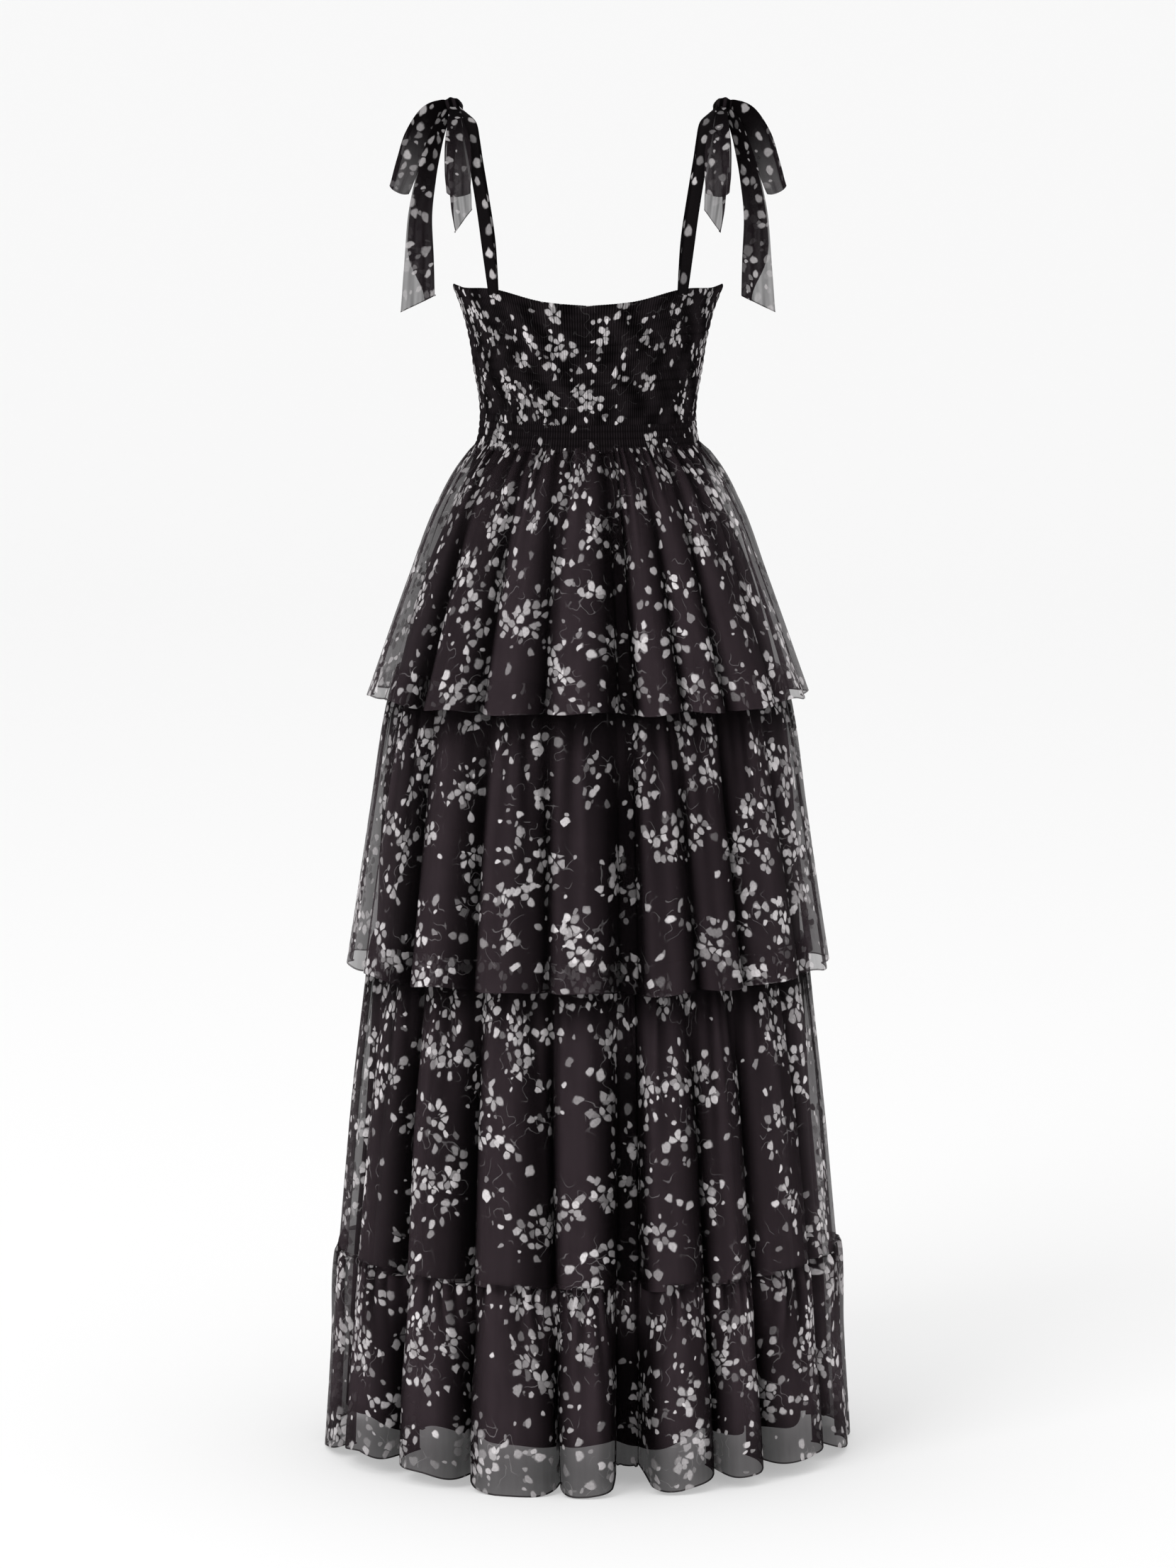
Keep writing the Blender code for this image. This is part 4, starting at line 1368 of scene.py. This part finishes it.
@dataclass(frozen=True)
class SmockedBand:
    """The close waistband, ribbed all round by its rows of elastic.

    Attributes:
        material: Its finish.
        ribs: How many ribs lie round it.
        elastics: How many rows of elastic it has.
        faces_per_rib: How many faces go across a rib.
        levels: How many faces go down.
        relief: How far the ribs stand out.
        middle: Where the sheet lies in its solid's wall.
        radius: Its mean radius.
        squeeze: How many times longer it was cut.
        drop: Its width laid flat.
    """

    material: Material
    ribs: int = 262
    elastics: int = 4
    faces_per_rib: int = 4
    levels: int = 20
    relief: float = 0.0009
    middle: float = -0.0006
    radius: float = 0.105
    squeeze: float = 1.3
    drop: float = 0.031

    def build(self) -> None:
        """Makes the band and says what it is."""
        columns = self.ribs * self.faces_per_rib
        shares = np.linspace(0, 1, self.levels + 1)[:, None]
        z = np.repeat(WAISTBAND_TOP_Z + (WAIST_Z - BAND_TUCK - WAISTBAND_TOP_Z) * shares, columns + 1, 1)
        place = np.arange(columns + 1) / self.faces_per_rib
        random = np.random.default_rng(5)
        ribs = hump(place) * random.uniform(0.7, 1.15, self.ribs + 1)[np.floor(place).astype(int)]
        puff = np.abs(np.sin(pi * shares * self.elastics)) ** ELASTIC_PUFF
        rise = self.relief * ribs * (0.6 + 0.4 * puff) + 0.0004 * puff + self.middle
        points = on_bodice(np.linspace(-90, 270, columns + 1), rise, z)
        width = 2 * pi * self.radius * self.squeeze
        across = np.linspace(0, width, columns + 1) + 1.1
        sheet = Cloth(points, across, WAISTBAND_TOP_Z - z + 0.27, crease_shade(ribs, puff))
        thing = sheet.made("waistband_cloth", self.material, 6)
        flat = (round(width, 2), self.drop)
        declared(thing, "waistband", flat)


@dataclass(frozen=True)
class TieCloth:
    """A stretch of a tie: a strip with one deep pleat, or folded in three as a strap.

    Attributes:
        part: The name that its nodes share on both sides.
        rows: Its stations from the knot on.
        cut_width: How wide the strip was cut, 0 for a strap.
        stations: How many faces go along it.
        across: How many go across it.
        slant: How much longer its outer edge is at its free end.
        hem: Whether its free end is rolled.
        seed: Where its billows and streaks lie.
        print_shift: Where across the printed cloth it is cut.
        opening: How far its pleat opens at its free end or bend, from 0 to 1.
        root_spread: How much wider it is where it leaves the knot.
        root_reach: How far from the knot it stays wider.
        dark_reach: How far from the knot it lies double and dark with painted shade.
        loop_round: How far its bend swells.
        inward: Whether its pleat lies on the side toward the neck.
    """

    part: str
    rows: tuple[TieRow, ...]
    cut_width: float
    stations: int
    across: int
    slant: float = 0.0
    hem: bool = False
    seed: int = 1
    print_shift: float = 0.0
    opening: float = 0.75
    root_spread: float = 0.65
    root_reach: float = 0.030
    dark_reach: float = 0.060
    loop_round: float = 0.0
    inward: bool = False

    def build(self, side: Side, material: Material) -> None:
        """Makes the strip for one shoulder.

        Args:
            side: The shoulder.
            material: The strip's finish.
        """
        known = np.arange(len(self.rows), dtype=float)
        table = smooth_at(known, self.rows, np.linspace(0, known[-1], self.stations + 1))
        out, back, up, width, lean, turn = table.T
        away = np.sqrt(out**2 + back**2 + up**2)
        width = width * (1 + self.root_spread * np.exp(-((away / self.root_reach) ** 2)))
        centre = np.stack([side.value * (KNOT_X + out), -back, up], -1)
        path = unit(np.gradient(centre, axis=0))
        lean, turn = np.radians(lean), np.radians(turn)
        level = [side.value * np.cos(lean) * np.cos(turn), np.cos(lean) * np.sin(turn), np.sin(lean)]
        level = np.stack(level, -1)
        level = unit(level - path * (level * path).sum(1, keepdims=True))
        normal = side.value * np.cross(path, level)
        down = summed(lengths(centre))
        far = down / down[-1]

        if self.cut_width:
            place, bend, shade = self._pleated(width, far)
            # Painted shade close to the knot.
            close = 0.95 * np.exp(-((away / self.dark_reach) ** 2.4))
            shade = np.maximum(shade, close[:, None])
        else:
            place, bend, shade = self._folded()
        slant = self.slant * ease(far, 0.55, 1.0)
        outmost = unit(centre[int(np.argmax(away))] - centre[0])
        bulge = np.exp(-(((far - 0.5) / 0.09) ** 2))[:, None] * (0.5 - (2 * place) ** 2)
        points = centre[:, None] + level[:, None] * (width[:, None] * place)[..., None]
        points = points + normal[:, None] * bend[..., None]
        points = points + path[:, None] * (slant[:, None] * place)[..., None]
        points = points + self.loop_round * bulge[..., None] * outmost
        cut = float(lengths(points, 1).sum(1).max())
        cross = np.linspace(0, cut, self.across + 1) + self.print_shift
        cross = cross + (RIGHT_SHIFT if side is Side.RIGHT else 0.0)
        sheet = Cloth(points, cross, down[:, None] + slant[:, None] * place, shade)
        if self.hem:
            sheet = sheet.with_roll(TAIL_ROLL)
        name = f"{self.part}_{side.word}"
        thing = sheet.made(f"{name}_cloth", material)
        flat = (round(cut, 4), round(float(down[-1]), 3))
        declared(thing, name, flat)

    def _pleated(self, width: Array, far: Array) -> tuple[Array, Array, Array]:
        """Places across, heights and shade of a strip laid in one soft knife pleat.

        The pleat turns back under the strip and then forward again below. The turn under is
        deep where the strip has little room and shallow at its free end or its bend.

        Args:
            width: The strip's width as it lies, at each station.
            far: Each station's share of the way from the knot.

        Returns:
            The places, the heights and the shade, a row for each station.
        """
        opened = ease(far, 0.74, 1.0) if self.hem else np.exp(-(((far - 0.5) / 0.15) ** 2))
        under = np.clip((self.cut_width / width - 1) / 2, 0.05, 0.95) * (1 - self.opening * opened)
        z = np.array([0, 0, -0.15, -0.85, -1, -1.08, -1.9, -2, -2]) * PLY_GAP
        rows = []
        for wide, tuck in zip(width, under):
            x = np.array([0, 0.96, 1, 1, 0.96, 1 - tuck, 1 - tuck, 0.96, 1])
            arc = summed(np.hypot(np.diff(x) * wide, np.diff(z)))
            at = np.linspace(0, arc[-1], self.across + 1)
            rows.append((np.interp(at, arc, x) - 0.5, np.interp(at, arc, z)))
        place, bend = np.array(rows).transpose(1, 0, 2)
        if self.inward:
            place, bend = -place[:, ::-1], bend[:, ::-1]
        far = far[:, None]
        sway = BILLOW * np.sin(2 * pi * (place * 0.8 + 0.5 * far) + self.seed)
        hidden = np.clip(-bend / (2 * PLY_GAP), 0, 1)
        bend = bend - bend.mean(1, keepdims=True) + sway * ease(far, 0.05, 0.3)
        # Painted shade: deepest where a ply lies under another, with streaks along the soft creases.
        streak = 0.5 + 0.5 * np.sin(2 * pi * 2.7 * place + self.seed + 1.2 * np.sin(6 * far))
        fine = 0.5 + 0.5 * np.sin(2 * pi * 6.1 * place - self.seed + np.sin(9 * far))
        return place, bend, np.clip(0.02 + 0.42 * hidden + 0.26 * streak**2 + 0.14 * fine, 0, 1)

    def _folded(self) -> tuple[Array, Array, Array]:
        """A strap folded in three, one ply on another.

        Returns:
            The places, the heights and the shade, a row for each station.
        """
        run = np.linspace(0, PLIES, self.across + 1)
        place = 0.5 - np.abs((run % 2) - 1)
        bend = PLY_GAP * (1 - 2 * run / PLIES) + STRAP_CROWN * np.cos(pi * place)
        # Painted shade toward the strap's folded edges.
        shade = 0.55 * np.abs(2 * place) ** 6
        return tuple(np.tile(part, (self.stations + 1, 1)) for part in (place, bend, shade))


@dataclass(frozen=True)
class TieKnot:
    """The knot of a shoulder: the strip wound round the crossing of the ties.

    Attributes:
        turns: How many times the strip goes round.
        width: Its width on the knot.
        cut_width: Its width laid flat.
        pleats: How many soft pleats lie across it.
        pleat_depth: How far they stand out.
        slope: How far it leans outward for its height.
        around_faces: How many faces go along it.
        across_faces: How many go across it.
        core: The crossing's half length, half depth and half height.
    """

    turns: float = 1.12
    width: float = 0.0185
    cut_width: float = 0.026
    pleats: float = 2.5
    pleat_depth: float = 0.0004
    slope: float = 0.22
    around_faces: int = 72
    across_faces: int = 36
    core: Triple = (0.0100, 0.0078, 0.0074)

    def build(self, side: Side, material: Material) -> None:
        """Makes the wound strip and the crossing inside it.

        Args:
            side: The shoulder.
            material: The strip's finish.
        """
        start = -0.6 * pi
        turn = np.linspace(start, start + 2 * pi * self.turns, self.around_faces + 1)[:, None]
        place = np.linspace(-0.5, 0.5, self.across_faces + 1)[None]
        swell = 1 - 0.52 * np.abs(2 * place) ** 2.4
        pleat = np.sin(2 * pi * self.pleats * place + 0.5 * np.sin(turn))
        pleat = np.abs(pleat) ** 0.7 * np.sign(pleat)
        rise = self.pleat_depth * pleat + 0.0007 * (turn - start) / (2 * pi)
        y = -(KNOT_HALF_DEPTH * swell + rise) * np.cos(turn)
        z = (KNOT_HALF_HEIGHT * swell + rise) * np.sin(turn)
        x = side.value * (KNOT_X + self.width * place + self.slope * z)
        points = np.stack(np.broadcast_arrays(x, y, z), -1)
        if side is Side.LEFT:
            points = points[:, ::-1]
        length = self.turns * 2 * pi * KNOT_HALF_DEPTH
        across = np.linspace(0, self.cut_width, self.across_faces + 1) + 0.11
        along = np.linspace(0, length, self.around_faces + 1)[:, None] + 0.37
        # Painted shade in the pleats' hollows and toward the strip's edges.
        shade = np.clip(np.clip(0.5 - 0.7 * pleat, 0, 1) + 0.3 * np.abs(2 * place) ** 4, 0, 1)
        name = f"knot_{side.word}"
        thing = Cloth(points, across, along, shade).made(f"{name}_cloth", material)
        inside = [self._crossing(side, material)]
        flat = (self.cut_width, round(length, 3))
        declared(thing, name, flat, inside=inside)

    def _crossing(self, side: Side, material: Material) -> Thing:
        """The crossing ties inside the knot, a creased ball that its wound strip covers.

        Args:
            side: The shoulder.
            material: Its finish.

        Returns:
            The crossing.
        """
        turn = np.linspace(0, 2 * pi, 33)[None]
        tilt = np.linspace(0.02, pi - 0.02, 17)[:, None]
        girth = np.sin(tilt) * (1 - 0.06 * (0.5 + 0.5 * np.cos(5 * turn)))
        x = side.value * (KNOT_X + self.core[0] * np.cos(tilt))
        y, z = self.core[1] * girth * np.cos(turn), self.core[2] * girth * np.sin(turn)
        points = np.stack(np.broadcast_arrays(x, y, z), -1)
        sheet = Cloth(points, turn * 0.008, tilt * 0.010 + 0.5, 0.5)
        return sheet.made(f"knot_{side.word}_crossing", material)


@dataclass(frozen=True)
class ShoulderBow:
    """The straps, knot, loops and tails of one shoulder.

    Attributes:
        side: The shoulder.
        wardrobe: The finishes.
    """

    side: Side
    wardrobe: Wardrobe

    def build(self) -> None:
        """Makes every piece of the bow."""
        TieKnot().build(self.side, self.wardrobe.knot)
        for part, rows in (("strap_back", STRAP_BACK), ("strap_front", STRAP_FRONT)):
            strap = TieCloth(
                part, rows, 0.0, 60, 36, print_shift=-0.003, root_spread=1.1, root_reach=0.045
            )
            strap.build(self.side, self.wardrobe.strap)
        hung = (
            TieCloth(
                "bow_loop_outer", LOOP_OUTER, 0.031, 120, 60, seed=3, print_shift=0.2,
                loop_round=0.0055, opening=0.0, dark_reach=0.078,
            ),
            TieCloth(
                "bow_loop_inner", LOOP_INNER, 0.030, 120, 60, seed=4, print_shift=0.9,
                loop_round=0.0065, opening=0.0, dark_reach=0.074,
            ),
            TieCloth(
                "bow_tail_outer", TAIL_OUTER, 0.082, 120, 84, slant=0.0185, hem=True, seed=5,
                print_shift=0.5, dark_reach=0.120, opening=0.55, inward=True,
            ),
            TieCloth(
                "bow_tail_inner", TAIL_INNER, 0.030, 80, 60, slant=0.0210, hem=True, seed=6,
                print_shift=1.4, opening=1.0,
            ),
        )
        for strip in hung:
            strip.build(self.side, self.wardrobe.tie)


@dataclass(frozen=True)
class Studio:
    """The pale floor with its swept backdrop, the soft light and the camera.

    Attributes:
        floor_z: The floor's height.
        floor_tone: Its grey.
        floor_glow: How strongly it glows.
        surround: How strongly the white surround shines.
        light_at: Where the soft light stands.
        light_aim: What it faces.
        light_size: Its side.
        light_power: Its power in watts.
        camera_at: Where the camera stands.
        camera_aim: What it faces.
        focal_pixels: Its focal length in pixels of the picture.
        picture_height: The picture's height in pixels.
        sensor: The sensor's height in millimetres.
    """

    floor_z: float = HEM_Z - 0.0005
    floor_tone: float = 0.60
    floor_glow: float = 0.345
    surround: float = 0.965
    light_at: Triple = (-3.2, -4.2, 3.0)
    light_aim: Triple = (0.0, 0.0, -0.75)
    light_size: float = 3.0
    light_power: float = 150.0
    camera_at: Triple = (0.0, -6.0, 0.09)
    camera_aim: Triple = (0.0, 0.0, -0.712)
    focal_pixels: float = 8070.0
    picture_height: float = 2212.0
    sensor: float = 36.0

    def build(self) -> None:
        """Makes the stage, the light and the camera."""
        scene = bpy.context.scene
        self._backdrop()
        scene.world = bpy.data.worlds.new("studio")
        scene.world.use_nodes = True
        background = scene.world.node_tree.nodes["Background"].inputs
        background["Color"].default_value = (1.0, 1.0, 1.0, 1.0)
        background["Strength"].default_value = self.surround
        light = bpy.data.lights.new("key", "AREA")
        light.size = self.light_size
        light.energy = self.light_power
        aimed("key", light, self.light_at, self.light_aim)
        camera = bpy.data.cameras.new("camera")
        camera.sensor_fit = "VERTICAL"
        camera.sensor_height = self.sensor
        camera.lens = self.sensor * self.focal_pixels / self.picture_height
        camera.clip_end = 60.0
        scene.camera = aimed("camera", camera, self.camera_at, self.camera_aim)
        scene.view_settings.view_transform = "Standard"
        scene.cycles.light_sampling_threshold = 0.0

    def _backdrop(self) -> None:
        """A floor that sweeps up into a wall behind the dress."""
        bend, radius, near, top = 9.0, 4.0, -12.0, 9.0
        turn = np.linspace(0, pi / 2, 25)[1:]
        run = [[near], np.linspace(-6, bend, 8), bend + radius * np.sin(turn), [bend + radius]]
        rise = [np.zeros(9), radius * (1 - np.cos(turn)), [top]]
        profile = zip(np.concatenate(run), np.concatenate(rise))
        x = np.linspace(-14, 14, 9)
        points = np.array([[(a, b, self.floor_z + c) for a in x] for b, c in profile])
        material = bpy.data.materials.new("pale_floor")
        material.use_nodes = True
        shader = material.node_tree.nodes["Principled BSDF"].inputs
        shader["Base Color"].default_value = (self.floor_tone, self.floor_tone, self.floor_tone, 1.0)
        shader["Emission Color"].default_value = (1.0, 1.0, 1.0, 1.0)
        shader["Emission Strength"].default_value = self.floor_glow
        shader["Roughness"].default_value = 0.9
        shader["Specular IOR Level"].default_value = 0.0
        Cloth(points, 0.0, 0.0, 0.0).made("floor", material)


def skirt_pieces(wardrobe: Wardrobe) -> tuple[SkirtCloth, ...]:
    """The sheets of the skirt.

    Args:
        wardrobe: The finishes.

    Returns:
        The sheets, from the lining out.
    """
    return (
        SkirtCloth(
            "lining", LINING_ROWS, 300, 70, (), wardrobe.lining, Held.HUNG, "waistband",
            slot=LINING_SLOT, steepness=0.0, roll=0.0014, bands=2, seam_shade=0.0,
            hem_wander=0.0065, flared=True,
        ),
        SkirtCloth(
            "tier_1", TIER_1_ROWS, 900, 84,
            (
                Gathers(60, 0.0064, 0.090, 1, 1.0), Gathers(25, 0.0040, 0.20, 2, 0.6),
                Gathers(120, 0.0014, 0.020, 3, 0.3),
            ),
            wardrobe.tier, Held.GATHERED, "waistband", steepness=0.55, seam_shade=0.34,
            seam_shade_ends=(0.0, 0.060),
        ),
        SkirtCloth(
            "tier_2", TIER_2_ROWS, 920, 78,
            (Gathers(78, 0.0046, 0.12, 4, 0.9), Gathers(35, 0.0038, 0.26, 5, 0.6)),
            wardrobe.tier, Held.GATHERED, "lining_cloth", print_shift=(2.3, 0.1),
        ),
        SkirtCloth(
            "tier_3", TIER_3_ROWS, 920, 78,
            (Gathers(84, 0.0046, 0.13, 6, 0.9), Gathers(39, 0.0038, 0.28, 7, 0.6)),
            wardrobe.tier, Held.GATHERED, "lining_cloth", steepness=0.72, roll=0.0006,
            print_shift=(5.1, 0.6),
        ),
        SkirtCloth(
            "hem_ruffle", RUFFLE_ROWS, 1150, 60,
            (Gathers(122, 0.0056, 0.036, 8, 1.0), Gathers(56, 0.0048, 0.10, 9, 0.7)),
            wardrobe.ruffle, Held.GATHERED, "tier_3_cloth", steepness=0.92, lifted=True,
            print_shift=(8.2, 0.3), seam_ease=0.006, seam_shade=0.50, seam_shade_ends=(0.0, 0.014),
            shadow_right=0.46, shadow_left=0.36, hem_shade=0.42,
        ),
    )


def main() -> None:
    logging.basicConfig(level=logging.INFO, format="%(message)s")
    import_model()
    Studio().build()
    wardrobe = Wardrobe()
    for piece in skirt_pieces(wardrobe):
        piece.build()
    SmockedBack(wardrobe.bodice).build()
    PlainFront(wardrobe.bodice).build()
    SmockedBand(wardrobe.bodice).build()
    for side in Side:
        ShoulderBow(side, wardrobe).build()


if __name__ == "__main__":
    main()
